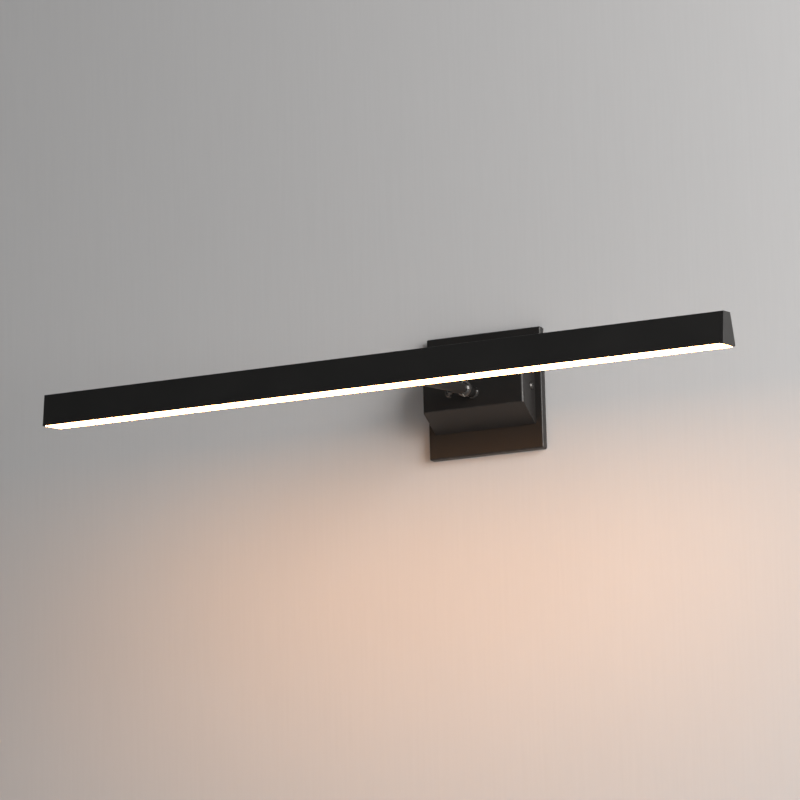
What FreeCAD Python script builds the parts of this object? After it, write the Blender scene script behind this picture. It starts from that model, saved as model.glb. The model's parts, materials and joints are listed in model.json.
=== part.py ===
import FreeCAD, Part
import math
import os
import re
import Sketcher

# Vanity light bar: a square wall plate with a cover box, a ball swivel and arm on
# the box, and a long LED bar held clear of the wall by the arm.
#
# Row frame, in millimetres: the origin is on the wall, behind the middle of the
# plate. +Y goes into the wall, so the front is -Y. +Z is up and +X runs along the bar.
# Swivel frame, for all that tilts: the origin is the middle of the ball, the arm lies
# along -Y and the bar is level. SWIVEL_PLACE turns it to the resting droop.

SIZES = [
    ("plate_side", 114.3, "wall plate, width and height"),
    ("plate_depth", 8.2, "wall plate, front face to wall"),
    ("plate_skin", 1.5, "wall plate, sheet thickness"),
    ("plate_shoulder", 1.6, "wall plate, radius of the drawn front edge"),
    ("plate_corner", 1.5, "wall plate, radius of the four corners"),
    ("strap_gap", 2.65, "crossbar, space left at each end inside the plate"),
    ("strap_width", 30.0, "crossbar, height"),
    ("strap_skin", 1.6, "crossbar, sheet thickness"),
    ("strap_land", 66.0, "crossbar, width of the raised middle"),
    ("slot_spacing", 88.9, "crossbar, distance between the two box-screw slots"),
    ("slot_length", 10.0, "crossbar, slot end to end"),
    ("slot_radius", 2.3, "crossbar, half the slot's width"),
    ("entry_radius", 7.0, "hole for the supply wires"),
    ("plate_screw_reach", 27.0, "plate screws, distance from the middle"),
    ("plate_screw_radius", 2.0, "plate screws, shank radius"),
    ("plate_screw_head", 3.6, "plate screws, head radius"),
    ("screw_head_height", 2.0, "plate and driver screws, height of the head"),
    ("screw_slot", 0.85, "plate and driver screws, width of the slot"),
    ("screw_crown", 0.72, "plate and driver screws, top of the head as a share of its radius"),
    ("screw_tail", 1.5, "all screws, length that shows behind what they hold"),
    ("ground_reach", 11.0, "ground screw, distance below the middle of the crossbar"),
    ("ground_radius", 1.75, "ground screw, shank radius"),
    ("ground_head", 3.2, "ground screw, head radius"),
    ("ground_head_height", 1.6, "ground screw, height of the head"),
    ("box_margin", 6.9, "cover box, plate showing on each side of it"),
    ("box_depth", 28.6, "cover box, front face to plate"),
    ("box_front", 36.6, "cover box, height of the front face"),
    ("box_base", 68.8, "cover box, height where it meets the plate"),
    ("box_skin", 1.2, "cover box, sheet thickness"),
    ("box_corner", 2.6, "cover box, radius of the upright front edges"),
    ("box_fold", 0.8, "cover box, radius of the level folds"),
    ("side_screw_depth", 8.5, "side screws, distance in front of the plate"),
    ("side_screw_radius", 2.0, "side screws, shank radius"),
    ("side_dome", 4.6, "side screws, radius of the domed head"),
    ("side_head", 2.6, "side screws, height of the head"),
    ("side_slot", 0.9, "side screws, width of the slot"),
    ("ear_height", 24.0, "chassis, height of base and ears"),
    ("ear_depth", 15.0, "chassis, how far the ears stand off the plate"),
    ("ear_skin", 1.4, "chassis, sheet thickness"),
    ("driver_length", 66.0, "driver, length of the case"),
    ("driver_height", 15.0, "driver, height of the case"),
    ("driver_depth", 15.0, "driver, depth of the case"),
    ("driver_gap", 1.4, "driver, bottom of the case above the heads of the plate screws"),
    ("driver_tab", 8.0, "driver, length of each fixing tab"),
    ("tab_thick", 2.0, "driver, thickness of each fixing tab"),
    ("case_wall", 1.5, "driver, wall of the case"),
    ("lid_thick", 1.6, "driver, thickness of the lid"),
    ("tab_screw_radius", 1.5, "driver screws, shank radius"),
    ("tab_screw_head", 2.8, "driver screws, head radius"),
    ("connector_pitch", 27.0, "wire connectors, spacing along the box"),
    ("connector_length", 18.0, "wire connectors, length"),
    ("connector_radius", 4.8, "wire connectors, radius of the mouth"),
    ("connector_tip", 3.0, "wire connectors, radius of the tip"),
    ("connector_ahead", 9.0, "wire connectors, middle in front of the chassis"),
    ("connector_clear", 1.25, "wire connectors, gap to the sloping bottom of the box"),
    ("ball_radius", 7.7, "swivel ball"),
    ("ball_reach", 17.4, "swivel ball, middle to the front of the box"),
    ("ball_drop", 4.6, "swivel ball, below the middle of the plate"),
    ("neck_radius", 5.2, "swivel necks"),
    ("flange_radius", 6.4, "swivel, flange that seats on the box"),
    ("flange_depth", 1.6, "swivel, thickness of that flange"),
    ("stem_radius", 4.85, "swivel, threaded stem"),
    ("stem_length", 12.0, "swivel, stem behind the flange"),
    ("bush_lip", 1.4, "stem bush, thickness of the lip outside the stem"),
    ("bush_depth", 5.0, "stem bush, length inside the stem"),
    ("bush_wall", 0.4, "stem bush, wall"),
    ("nut_corner", 8.25, "stem nut, middle to a corner"),
    ("nut_thick", 3.2, "stem nut, thickness"),
    ("nut_washer", 8.0, "stem washer, radius"),
    ("nut_washer_thick", 1.2, "stem washer, thickness"),
    ("wire_way", 2.9, "swivel, radius of the bore for the wires"),
    ("neck_reach", 9.0, "swivel, middle of the ball to the shoulder that the arm butts on"),
    ("spigot_length", 9.5, "swivel, length of the spigot inside the arm"),
    ("spigot_wall", 0.9, "swivel, wall of the spigot"),
    ("cavity_radius", 5.0, "swivel, radius of the hollow in the ball"),
    ("cavity_half", 3.6, "swivel, half the width of that hollow"),
    ("disc_thick", 0.6, "swivel, friction disc between the half balls"),
    ("pivot_radius", 1.75, "swivel, pivot screw shank"),
    ("running_gap", 0.06, "radial play of a part that turns in another"),
    ("knob_neck", 1.9, "lock knob, radius beside the ball"),
    ("knob_rim", 6.6, "lock knob, radius of the outer rim"),
    ("knob_width", 2.2, "lock knob, width of the outer rim"),
    ("knob_length", 9.6, "lock knob, seat to the outer face"),
    ("knob_edge", 0.8, "lock knob, chamfer round the outer face"),
    ("flute_radius", 0.8, "lock knob, radius of the flutes round the rim"),
    ("flute_out", 0.35, "lock knob, middle of a flute outside the rim"),
    ("washer_thick", 0.8, "knob washer, thickness"),
    ("washer_radius", 3.6, "knob washer, radius"),
    ("spot_depth", 0.7, "swivel, depth of the flat under the knob washer"),
    ("thread_depth", 3.0, "swivel, length of the threaded hole in the rear half"),
    ("thread_spare", 0.4, "swivel, room left past the end of the pivot"),
    ("reach", 191.8, "middle of the ball to the middle of the bar"),
    ("droop", 6.1, "resting angle of the arm below level, degrees"),
    ("arm_radius", 5.0, "arm tube, outer radius"),
    ("collar_wall", 3.5, "arm collar, wall round the arm"),
    ("collar_length", 5.0, "arm collar, length behind the bar's side"),
    ("arm_bore", 3.6, "arm tube, inner radius"),
    ("bar_length", 655.0, "LED bar, overall length"),
    ("bar_height", 29.0, "LED bar, height without the lens"),
    ("bar_top", 16.4, "LED bar, width of the top"),
    ("bar_bottom", 30.6, "LED bar, width of the bottom"),
    ("bar_wall", 1.8, "LED bar, wall"),
    ("bar_edge", 0.7, "LED bar, radius of the two top edges"),
    ("shelf_drop", 7.2, "LED bar, top of the inner shelf below the middle"),
    ("shelf_skin", 1.5, "LED bar, thickness of the inner shelf"),
    ("cap_thick", 2.7, "end caps, thickness"),
    ("cap_plug", 7.0, "end caps, how far the plug goes in"),
    ("lens_lip", 0.4, "lens, how far it stands below the housing"),
    ("lens_skin", 1.2, "lens, thickness of the skin and legs"),
    ("lens_leg", 3.6, "lens, height of the legs"),
    ("board_width", 16.0, "LED board, width"),
    ("board_thick", 1.2, "LED board, thickness"),
    ("board_screw_radius", 1.2, "LED board, screw shank radius"),
    ("board_short", 8.0, "LED board, how much shorter than the housing"),
    ("chip_pitch", 9.0, "LED chips, spacing"),
    ("chip_length", 2.8, "LED chips, length"),
    ("chip_width", 3.5, "LED chips, width"),
    ("chip_thick", 0.8, "LED chips, thickness"),
    ("hanger_length", 34.0, "bar hanger, length along the bar"),
    ("grub_radius", 1.5, "arm set screw, radius"),
    ("grub_spot", 6.5, "arm set screw, middle of the bar to the screw"),
    ("hanger_wall", 1.6, "bar hanger, thickness above the arm"),
    ("wire_radius", 0.8, "insulated wires"),
    ("wire_spread", 0.9, "insulated wires, distance of each above or below the middle"),
    ("wire_offset", 1.35, "insulated wires, distance to the side that keeps them in one half ball"),
    ("seat_gap", 0.1, "play round a part that is pushed or screwed in place"),
]
VALUE = {alias: number for alias, number, note in SIZES}
SLOPE_LEAN = "((box_base - box_front) / 2 / box_depth)"
CONNECTOR_UP = (
    f"(-box_base / 2 + {SLOPE_LEAN} * (ear_skin + connector_ahead)"
    f" + (box_skin + connector_clear + connector_radius) * sqrt(1 + {SLOPE_LEAN} ^ 2))"
)
SWIVEL_PLACE = (
    "placement(vector(0; -plate_depth - box_depth - ball_reach; -ball_drop);"
    " rotation(vector(1; 0; 0); droop))"
)

doc = FreeCAD.newDocument("VanityLightBar")
sheet = doc.addObject("Spreadsheet::Sheet", "Sizes")
for row, (alias, number, note) in enumerate(SIZES, start=1):
    sheet.set(f"A{row}", note)
    sheet.set(f"B{row}", str(number))
    sheet.setAlias(f"B{row}", alias)
doc.recompute()


# ---------------------------------------------------------------- helpers
def sized(text):
    """Expression text with each size's name pointed at its cell in the sheet."""
    return re.sub(r"[a-z_]+", lambda m: f"Sizes.{m.group()}" if m.group() in VALUE else m.group(), text)


def bind(item, prop, text):
    """Drive one property of an object by an expression in the sheet's sizes."""
    item.setExpression(prop, sized(text))


def body(label):
    """A new PartDesign body whose label names its file."""
    made = doc.addObject("PartDesign::Body", label)
    made.Label = label
    return made


def sketch(owner, plane, lift="0"):
    """An empty sketch on one of the body's own origin planes, lifted along its normal."""
    found = {item.Role: item for item in owner.Origin.OriginFeatures}
    made = owner.newObject("Sketcher::SketchObject", f"{owner.Name}_sketch")
    made.AttachmentSupport = [(found[f"{plane}_Plane"], "")]
    made.MapMode = "FlatFace"
    bind(made, "AttachmentOffset.Base.z", lift)
    return made


def hold(made, kind, first, last, text):
    """Add one dimension to a sketch and drive it from the sheet."""
    index = made.addConstraint(Sketcher.Constraint(kind, *first, *last, 1.0))
    bind(made, f"Constraints[{index}]", text)


def add_outline(made, corners):
    """Add a closed outline through corners, each a pair of expressions."""
    count = len(corners)
    start = made.GeometryCount
    turn = 2 * math.pi / count
    spots = [FreeCAD.Vector(math.cos(i * turn), math.sin(i * turn), 0) * 10 for i in range(count)]
    for i in range(count):
        made.addGeometry(Part.LineSegment(spots[i], spots[(i + 1) % count]), False)
    for i in range(count):
        following = start + (i + 1) % count
        made.addConstraint(Sketcher.Constraint("Coincident", start + i, 2, following, 1))
    for i, (across, along) in enumerate(corners):
        hold(made, "DistanceX", (-1, 1), (start + i, 1), across)
        hold(made, "DistanceY", (-1, 1), (start + i, 1), along)


def add_ring(made, across, along, radius):
    """Add one circle to a sketch."""
    spot = FreeCAD.Vector(5, 5, 0)
    index = made.addGeometry(Part.Circle(spot, FreeCAD.Vector(0, 0, 1), 2.0), False)
    hold(made, "DistanceX", (-1, 1), (index, 3), across)
    hold(made, "DistanceY", (-1, 1), (index, 3), along)
    size = made.addConstraint(Sketcher.Constraint("Radius", index, 2.0))
    bind(made, f"Constraints[{size}]", radius)


def rectangle(width, height, across="0", along="0"):
    """Corners of a rectangle about a middle point, as expressions."""
    left, right = f"{across} - ({width}) / 2", f"{across} + ({width}) / 2"
    low, high = f"{along} - ({height}) / 2", f"{along} + ({height}) / 2"
    return [(left, low), (right, low), (right, high), (left, high)]


def grow(owner, profile, length, symmetric=False, backwards=False):
    """Pad a sketch, to one side or half to each side."""
    pad = owner.newObject("PartDesign::Pad", f"{owner.Name}_pad")
    pad.Profile = profile
    pad.SideType = "Symmetric" if symmetric else "One side"
    pad.Reversed = backwards
    bind(pad, "Length", length)
    doc.recompute()
    return pad


def sink(owner, profile, length, symmetric=False, backwards=False):
    """Pocket a sketch, and make sure that it took something away."""
    before = owner.Shape.Volume
    pocket = owner.newObject("PartDesign::Pocket", f"{owner.Name}_pocket")
    pocket.Profile = profile
    pocket.SideType = "Symmetric" if symmetric else "One side"
    pocket.Reversed = backwards
    bind(pocket, "Length", length)
    doc.recompute()
    if owner.Shape.Volume > before - 1e-3:
        raise ValueError(f"{pocket.Name} takes nothing away from {owner.Label}")
    return pocket


def spin(owner, profile, axis):
    """Turn a sketch once round one of its own axes, H_Axis or V_Axis."""
    turned = owner.newObject("PartDesign::Revolution", f"{owner.Name}_turned")
    turned.Profile = profile
    turned.ReferenceAxis = (profile, [axis])
    turned.Angle = 360.0
    doc.recompute()
    return turned


def round_edges(owner, base, radius, chosen):
    """Fillet the edges of a feature that the test function chooses."""
    names = [f"Edge{i}" for i, edge in enumerate(base.Shape.Edges, start=1) if chosen(edge)]
    if not names:
        raise ValueError(f"{owner.Label} has no edge to round")
    fillet = owner.newObject("PartDesign::Fillet", f"{owner.Name}_fillet")
    fillet.Base = (base, names)
    bind(fillet, "Radius", radius)
    doc.recompute()
    return fillet


def runs_along(edge, axis):
    """Whether a straight edge runs along X (0), Y (1) or Z (2)."""
    if not isinstance(edge.Curve, Part.Line):
        return False
    return abs(edge.Curve.Direction[axis]) > 0.999


TURNS = {
    "X": FreeCAD.Rotation(FreeCAD.Vector(0, 1, 0), 90),
    "Y": FreeCAD.Rotation(FreeCAD.Vector(1, 0, 0), -90),
    "Z": FreeCAD.Rotation(),
}


def put(item, spot, axis="Z"):
    """Turn an object's own Z along the named row axis and drive its place."""
    item.Placement = FreeCAD.Placement(FreeCAD.Vector(), TURNS[axis])
    for name, text in zip("xyz", spot):
        bind(item, f"Placement.Base.{name}", text)
    return item


def rod(radius, length, spot, axis):
    """A cylinder that starts at spot and runs along the axis."""
    made = doc.addObject("Part::Cylinder", "Rod")
    bind(made, "Radius", radius)
    bind(made, "Height", length)
    return put(made, spot, axis)


def taper(start_radius, end_radius, length, spot, axis):
    """A cone that starts at spot and runs along the axis."""
    made = doc.addObject("Part::Cone", "Taper")
    bind(made, "Radius1", start_radius)
    bind(made, "Radius2", end_radius)
    bind(made, "Height", length)
    return put(made, spot, axis)


def block(width, depth, height, spot):
    """A box about a middle point; width is along X, depth along Y, height along Z."""
    made = doc.addObject("Part::Box", "Block")
    bind(made, "Length", width)
    bind(made, "Width", depth)
    bind(made, "Height", height)
    across, along, up = spot
    corner = (f"{across} - ({width}) / 2", f"{along} - ({depth}) / 2", f"{up} - ({height}) / 2")
    return put(made, corner)


def sphere(radius):
    """A ball about the origin."""
    made = doc.addObject("Part::Sphere", "Ball")
    bind(made, "Radius", radius)
    return made


def join(label, *items):
    """One solid from several that touch."""
    made = doc.addObject("Part::MultiFuse", label)
    made.Shapes = list(items)
    made.Label = label
    return made


def less(label, base, tool):
    """A solid with another taken away from it."""
    made = doc.addObject("Part::Cut", label)
    made.Base = base
    made.Tool = tool
    made.Label = label
    return made


def common(label, base, tool):
    """What two solids share."""
    made = doc.addObject("Part::Common", label)
    made.Base = base
    made.Tool = tool
    made.Label = label
    return made


def group(label, items):
    """Several separate solids under one label."""
    made = doc.addObject("Part::Compound", label)
    made.Links = list(items)
    made.Label = label
    return made


def washer(label, outer, inner, thick, spot, axis):
    """A flat ring that starts at spot."""
    return less(label, rod(outer, thick, spot, axis), rod(inner, thick, spot, axis))


def on_arm(item):
    """Place a piece that was modelled in the swivel frame."""
    bind(item, "Placement", SWIVEL_PLACE)
    return item


# ---------------------------------------------------------------- wall plate
def make_crossbar():
    """Hat-shaped steel strap: its feet lie on the wall, its middle carries the plate."""
    owner = body("crossbar")
    profile = sketch(owner, "XY")
    foot = "(plate_side / 2 - plate_skin - strap_gap)"
    land = "strap_land / 2"
    rise = "plate_depth - plate_skin"
    skin = "strap_skin"
    add_outline(profile, [
        (f"-{foot}", "0"),
        (f"-{foot}", f"-{skin}"),
        (f"-{land} - {skin}", f"-{skin}"),
        (f"-{land} - {skin}", f"-({rise})"),
        (f"{land} + {skin}", f"-({rise})"),
        (f"{land} + {skin}", f"-{skin}"),
        (foot, f"-{skin}"),
        (foot, "0"),
        (land, "0"),
        (land, f"-({rise}) + {skin}"),
        (f"-{land}", f"-({rise}) + {skin}"),
        (f"-{land}", "0"),
    ])
    grow(owner, profile, "strap_width", symmetric=True)
    holes = sketch(owner, "XZ", "-1")
    add_ring(holes, "0", "0", "entry_radius")
    for side in ("-", ""):
        add_ring(holes, f"{side}plate_screw_reach", "0", "plate_screw_radius")
    add_ring(holes, "0", "-ground_reach", "ground_radius")
    sink(owner, holes, "plate_depth + 2", backwards=True)
    for side in ("-", ""):
        slot = sketch(owner, "XZ", "-1")
        middle = f"{side}slot_spacing / 2"
        add_outline(slot, rectangle("slot_length - 2 * slot_radius", "2 * slot_radius", middle))
        sink(owner, slot, "strap_skin + 2", backwards=True)
        for end in ("-", "+"):
            tip = sketch(owner, "XZ", "-1")
            add_ring(tip, f"{middle} {end} (slot_length / 2 - slot_radius)", "0", "slot_radius")
            sink(owner, tip, "strap_skin + 2", backwards=True)


def make_plate():
    """Drawn steel pan that hides the wall box; open at the back."""
    owner = body("back_plate")
    face = sketch(owner, "XZ")
    add_outline(face, rectangle("plate_side", "plate_side"))
    pan = grow(owner, face, "plate_depth")
    pan = round_edges(owner, pan, "plate_corner", lambda edge: runs_along(edge, 1))
    front = -VALUE["plate_depth"]
    pan = round_edges(owner, pan, "plate_shoulder", lambda edge: abs(edge.CenterOfMass.y - front) < 1e-3)
    hollow = sketch(owner, "XZ")
    inside = "plate_side - 2 * plate_skin"
    add_outline(hollow, rectangle(inside, inside))
    sink(owner, hollow, "plate_depth - plate_skin", backwards=True)
    holes = sketch(owner, "XZ")
    add_ring(holes, "0", "0", "entry_radius + 1")
    for side in ("-", ""):
        add_ring(holes, f"{side}plate_screw_reach", "0", "plate_screw_radius + seat_gap")
    sink(owner, holes, "2 * plate_depth", backwards=True)


def screw(head_radius, shank_radius, shank_length, spot):
    """A tapered-head screw along Y with an upright slot: spot is under the head."""
    across, along, up = spot
    top = (across, f"{along} - screw_head_height", up)
    shank = rod(shank_radius, shank_length, spot, "Y")
    head = taper(f"{head_radius} * screw_crown", head_radius, "screw_head_height", top, "Y")
    slot = block("screw_slot", "screw_slot", f"2 * {head_radius}", top)
    return less("Slotted", join("Screw", head, shank), slot)


def make_plate_screws():
    """Two screws hold the chassis and the plate to the crossbar."""
    under = "-plate_depth - ear_skin"
    length = "ear_skin + plate_skin + strap_skin + screw_tail"
    pair = [
        screw("plate_screw_head", "plate_screw_radius", length, (f"{side}plate_screw_reach", under, "0"))
        for side in ("-", "")
    ]
    group("plate_screws", pair)


def make_ground_screw():
    """Green bonding screw in the crossbar, its head towards the wall box."""
    back = "-plate_depth + plate_skin + strap_skin"
    shank = rod("ground_radius", "strap_skin", ("0", "-plate_depth + plate_skin", "-ground_reach"), "Y")
    head = rod("ground_head", "ground_head_height", ("0", back, "-ground_reach"), "Y")
    join("ground_screw", shank, head)


# ---------------------------------------------------------------- box and driver
def box_profile(inset):
    """Corners of the cover box's side view, in Y and Z, moved in by inset."""
    slope = "sqrt(box_depth ^ 2 + ((box_base - box_front) / 2) ^ 2)"
    rise = f"({inset}) * {slope} / box_depth"
    lean = "(box_base - box_front) / 2 / box_depth"
    base = f"(box_base / 2 - {rise})"
    front = f"(box_front / 2 - {rise} + ({inset}) * {lean})"
    face = f"-plate_depth - box_depth + ({inset})"
    return [
        ("-plate_depth", base),
        (face, front),
        (face, f"-{front}"),
        ("-plate_depth", f"-{base}"),
    ]


def make_cover_box():
    """Folded cover with an upright front and sloping top and bottom, open at the back."""
    owner = body("cover_box")
    side_view = sketch(owner, "YZ")
    add_outline(side_view, box_profile("0"))
    shell = grow(owner, side_view, "plate_side - 2 * box_margin", symmetric=True)
    front = -VALUE["plate_depth"] - VALUE["box_depth"]

    def on_front(edge, axis):
        return runs_along(edge, axis) and abs(edge.CenterOfMass.y - front) < 0.1

    shell = round_edges(owner, shell, "box_corner", lambda edge: on_front(edge, 2))
    round_edges(owner, shell, "box_fold", lambda edge: on_front(edge, 0))
    hollow = sketch(owner, "YZ")
    add_outline(hollow, box_profile("box_skin"))
    sink(owner, hollow, "plate_side - 2 * box_margin - 2 * box_skin", symmetric=True)
    stem_hole = sketch(owner, "XZ", "plate_depth + box_depth / 2")
    add_ring(stem_hole, "0", "-ball_drop", "stem_radius + seat_gap")
    sink(owner, stem_hole, "box_depth", backwards=True)
    side_holes = sketch(owner, "YZ")
    add_ring(side_holes, "-plate_depth - side_screw_depth", "0", "side_screw_radius + seat_gap")
    sink(owner, side_holes, "2 * plate_side", symmetric=True)


def make_chassis():
    """Steel cradle inside the box: a base on the plate and two ears for the side screws."""
    owner = body("box_chassis")
    profile = sketch(owner, "XY")
    outer = "((plate_side / 2 - box_margin) - box_skin)"
    inner = "((plate_side / 2 - box_margin) - box_skin - ear_skin)"
    add_outline(profile, [
        (f"-{outer}", "-plate_depth"),
        (f"-{outer}", "-plate_depth - ear_depth"),
        (f"-{inner}", "-plate_depth - ear_depth"),
        (f"-{inner}", "-plate_depth - ear_skin"),
        (inner, "-plate_depth - ear_skin"),
        (inner, "-plate_depth - ear_depth"),
        (outer, "-plate_depth - ear_depth"),
        (outer, "-plate_depth"),
    ])
    grow(owner, profile, "ear_height", symmetric=True)
    rail = sketch(owner, "XZ", "plate_depth")
    top = "(plate_screw_head + driver_gap) + driver_height"
    add_outline(rail, rectangle("driver_length + 2 * driver_tab", f"{top}", "0", f"({top}) / 2"))
    grow(owner, rail, "ear_skin")
    holes = sketch(owner, "XZ", "plate_depth - 1")
    add_ring(holes, "0", "0", "entry_radius")
    for side in ("-", ""):
        add_ring(holes, f"{side}plate_screw_reach", "0", "plate_screw_radius + seat_gap")
        tab = f"{side}(driver_length + driver_tab) / 2"
        add_ring(holes, tab, "(plate_screw_head + driver_gap) + driver_height / 2", "tab_screw_radius")
    sink(owner, holes, "ear_skin + 2", backwards=True)
    ear_holes = sketch(owner, "YZ")
    add_ring(ear_holes, "-plate_depth - side_screw_depth", "0", "side_screw_radius")
    sink(owner, ear_holes, "2 * plate_side", symmetric=True)


def make_side_screws():
    """One round-head screw in each side of the box, into the chassis ears."""
    depth = "-plate_depth - side_screw_depth"
    length = "box_skin + ear_skin + screw_tail"
    reach = "(plate_side / 2 - box_margin)"
    wide = "2 * side_dome"
    pair = []
    for side in (-1, 1):
        start = f"-{reach}" if side < 0 else f"{reach} - ({length})"
        shank = rod("side_screw_radius", length, (start, depth, "0"), "X")
        dome = put(sphere("side_dome"), (f"{side} * ({reach} + side_head - side_dome)", depth, "0"))
        keep = block("side_head", wide, wide, (f"{side} * ({reach} + side_head / 2)", depth, "0"))
        head = common("Dome", dome, keep)
        slot = block("1.2", wide, "side_slot", (f"{side} * ({reach} + side_head)", depth, "0"))
        pair.append(less("Slotted", join("Screw", shank, head), slot))
    group("side_screws", pair)


def make_driver():
    """LED driver: a moulded case with two fixing tabs, a lid and two screws."""
    back = "-plate_depth - ear_skin"
    up = "(plate_screw_head + driver_gap) + driver_height / 2"
    depth = "(driver_depth - lid_thick)"
    inside = f"({depth} - case_wall)"
    case = block("driver_length", depth, "driver_height", ("0", f"{back} - {depth} / 2", up))
    tab_width = "driver_length + 2 * driver_tab"
    tabs = block(tab_width, "tab_thick", "driver_height", ("0", f"{back} - tab_thick / 2", up))
    middle = ("0", f"{back} - case_wall - {inside} / 2", up)
    hollow = block("driver_length - 2 * case_wall", inside, "driver_height - 2 * case_wall", middle)
    spots = [f"{side}(driver_length + driver_tab) / 2" for side in ("-", "")]
    bore = "tab_screw_radius + seat_gap"
    bores = [rod(bore, "2 * tab_thick", (spot, f"{back} - 1.5 * tab_thick", up), "Y") for spot in spots]
    less("driver_case", join("CaseBody", case, tabs), join("CaseHollow", hollow, *bores))
    lid_depth = f"{back} - driver_depth + lid_thick / 2"
    lid = block("driver_length", "lid_thick", "driver_height", ("0", lid_depth, up))
    lid.Label = "driver_lid"
    make_driver_board(f"{back} - case_wall", up)
    length = "tab_thick + ear_skin"
    screws = [screw("tab_screw_head", "tab_screw_radius", length, (spot, f"{back} - tab_thick", up))
              for spot in spots]
    group("driver_screws", screws)


def make_driver_board(floor, up):
    """The driver's board on two posts, with a coil and a capacitor; floor is the case's inner face."""
    post, thick = "2.0", "1.2"
    board = block("driver_length - 2 * case_wall - 1", thick, "driver_height - 2 * case_wall - 0.6",
                  ("0", f"{floor} - {post} - {thick} / 2", up))
    foot = f"{floor} - {post}"
    posts = [rod("1.6", post, (f"{side}driver_length / 3", foot, up), "Y") for side in ("-", "")]
    face = f"{floor} - {post} - {thick}"
    coil = block("13", "6", "10", ("-driver_length / 4", f"{face} - 3", up))
    capacitor = rod("3.4", "7.0", ("driver_length / 5", f"{face} - 7.0", up), "Y")
    join("driver_board", board, coil, capacitor, *posts)


def make_wire_connectors():
    """Three twist-on connectors along the bottom of the box; two splice the driver to the supply."""
    depth = "-plate_depth - ear_skin - connector_ahead"
    cones = []
    for place in (-1, 0, 1):
        mouth, tip = "connector_radius", "connector_tip"
        start, end = (tip, mouth) if place > 0 else (mouth, tip)
        left = f"{place} * connector_pitch - connector_length / 2"
        cones.append(taper(start, end, "connector_length", (left, depth, CONNECTOR_UP), "X"))
    group("wire_connectors", cones)


# ---------------------------------------------------------------- ball swivel
def half_ball(label, side, stem_parts, bores):
    """Half of the split ball on one side of X, with a full round neck clear of the other half."""
    cutter = "ball_radius + 0.3"
    ball = sphere("ball_radius")
    keep = block("2 * ball_radius", "3 * ball_radius", "3 * ball_radius",
                 (f"{side} * (ball_radius + disc_thick / 2)", "0", "0"))
    half = common("HalfBall", ball, keep)
    relief_ball = sphere(cutter)
    relief_keep = block("2 * ball_radius", "3 * ball_radius", "3 * ball_radius",
                        (f"{side} * (disc_thick / 2 - ball_radius)", "0", "0"))
    relief = common("Relief", relief_ball, relief_keep)
    trimmed = less("TrimmedNeck", join("Neck", *stem_parts), relief)
    whole = join("WholeHalf", half, trimmed)
    hollow = rod("cavity_radius", "2 * cavity_half", ("-cavity_half", "0", "0"), "X")
    return less(label, whole, join("Bores", hollow, *bores))


def make_swivel():
    """Split ball: the rear half is fixed to the box, the front half carries the arm."""
    neck = rod("neck_radius", "ball_reach", ("0", "0", "0"), "Y")
    flange = rod("flange_radius", "flange_depth", ("0", "ball_reach - flange_depth", "0"), "Y")
    stem = rod("stem_radius", "stem_length", ("0", "ball_reach", "0"), "Y")
    rear_way = rod("wire_way", "ball_reach + stem_length", ("0", "0", "0"), "Y")
    thread = rod("pivot_radius + running_gap", "cavity_half + thread_depth", ("0", "0", "0"), "X")
    rear = half_ball("swivel_rear", 1, [neck, flange, stem], [rear_way, thread])
    put(rear, ("0", "-plate_depth - box_depth - ball_reach", "-ball_drop"))

    front_neck = rod("arm_radius", "neck_reach", ("0", "-neck_reach", "0"), "Y")
    spigot = rod("arm_bore - seat_gap", "spigot_length", ("0", "-neck_reach - spigot_length", "0"), "Y")
    front_length = "neck_reach + spigot_length"
    way = "arm_bore - seat_gap - spigot_wall"
    front_way = rod(way, front_length, ("0", f"-({front_length})", "0"), "Y")
    pivot_hole = rod("pivot_radius + running_gap", "2 * ball_radius", ("-2 * ball_radius", "0", "0"), "X")
    wide = "3 * ball_radius"
    flat = block("ball_radius", wide, wide, ("-1.5 * ball_radius + spot_depth", "0", "0"))
    front = half_ball("swivel_front", -1, [front_neck, spigot], [front_way, pivot_hole, flat])
    on_arm(front)


def make_swivel_fixings():
    """Friction disc in the ball, and the washer, nut and bush on the stem."""
    edge = "ball_radius - 2.5 * seat_gap"
    disc = washer("friction_disc", edge, "cavity_radius", "disc_thick", ("-disc_thick / 2", "0", "0"), "X")
    put_swivel(disc)
    inside = "-plate_depth - box_depth + box_skin"
    spot = ("0", inside, "-ball_drop")
    washer("stem_washer", "nut_washer", "stem_radius", "nut_washer_thick", spot, "Y")
    owner = body("stem_nut")
    flats = sketch(owner, "XZ", "plate_depth + box_depth - box_skin - nut_washer_thick")
    turns = [60 * corner for corner in range(6)]
    corners = [(f"nut_corner * cos({turn})", f"nut_corner * sin({turn}) - ball_drop") for turn in turns]
    add_outline(flats, corners)
    add_ring(flats, "0", "-ball_drop", "stem_radius")
    grow(owner, flats, "nut_thick", backwards=True)
    end = "-plate_depth - box_depth + stem_length"
    lip = rod("stem_radius + bush_wall", "bush_lip", ("0", end, "-ball_drop"), "Y")
    sleeve = rod("wire_way", "bush_depth", ("0", f"{end} - bush_depth", "-ball_drop"), "Y")
    length = "bush_depth + bush_lip"
    way = rod("wire_way - bush_wall", length, ("0", f"{end} - bush_depth", "-ball_drop"), "Y")
    less("stem_bush", join("BushBody", lip, sleeve), way)


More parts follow.
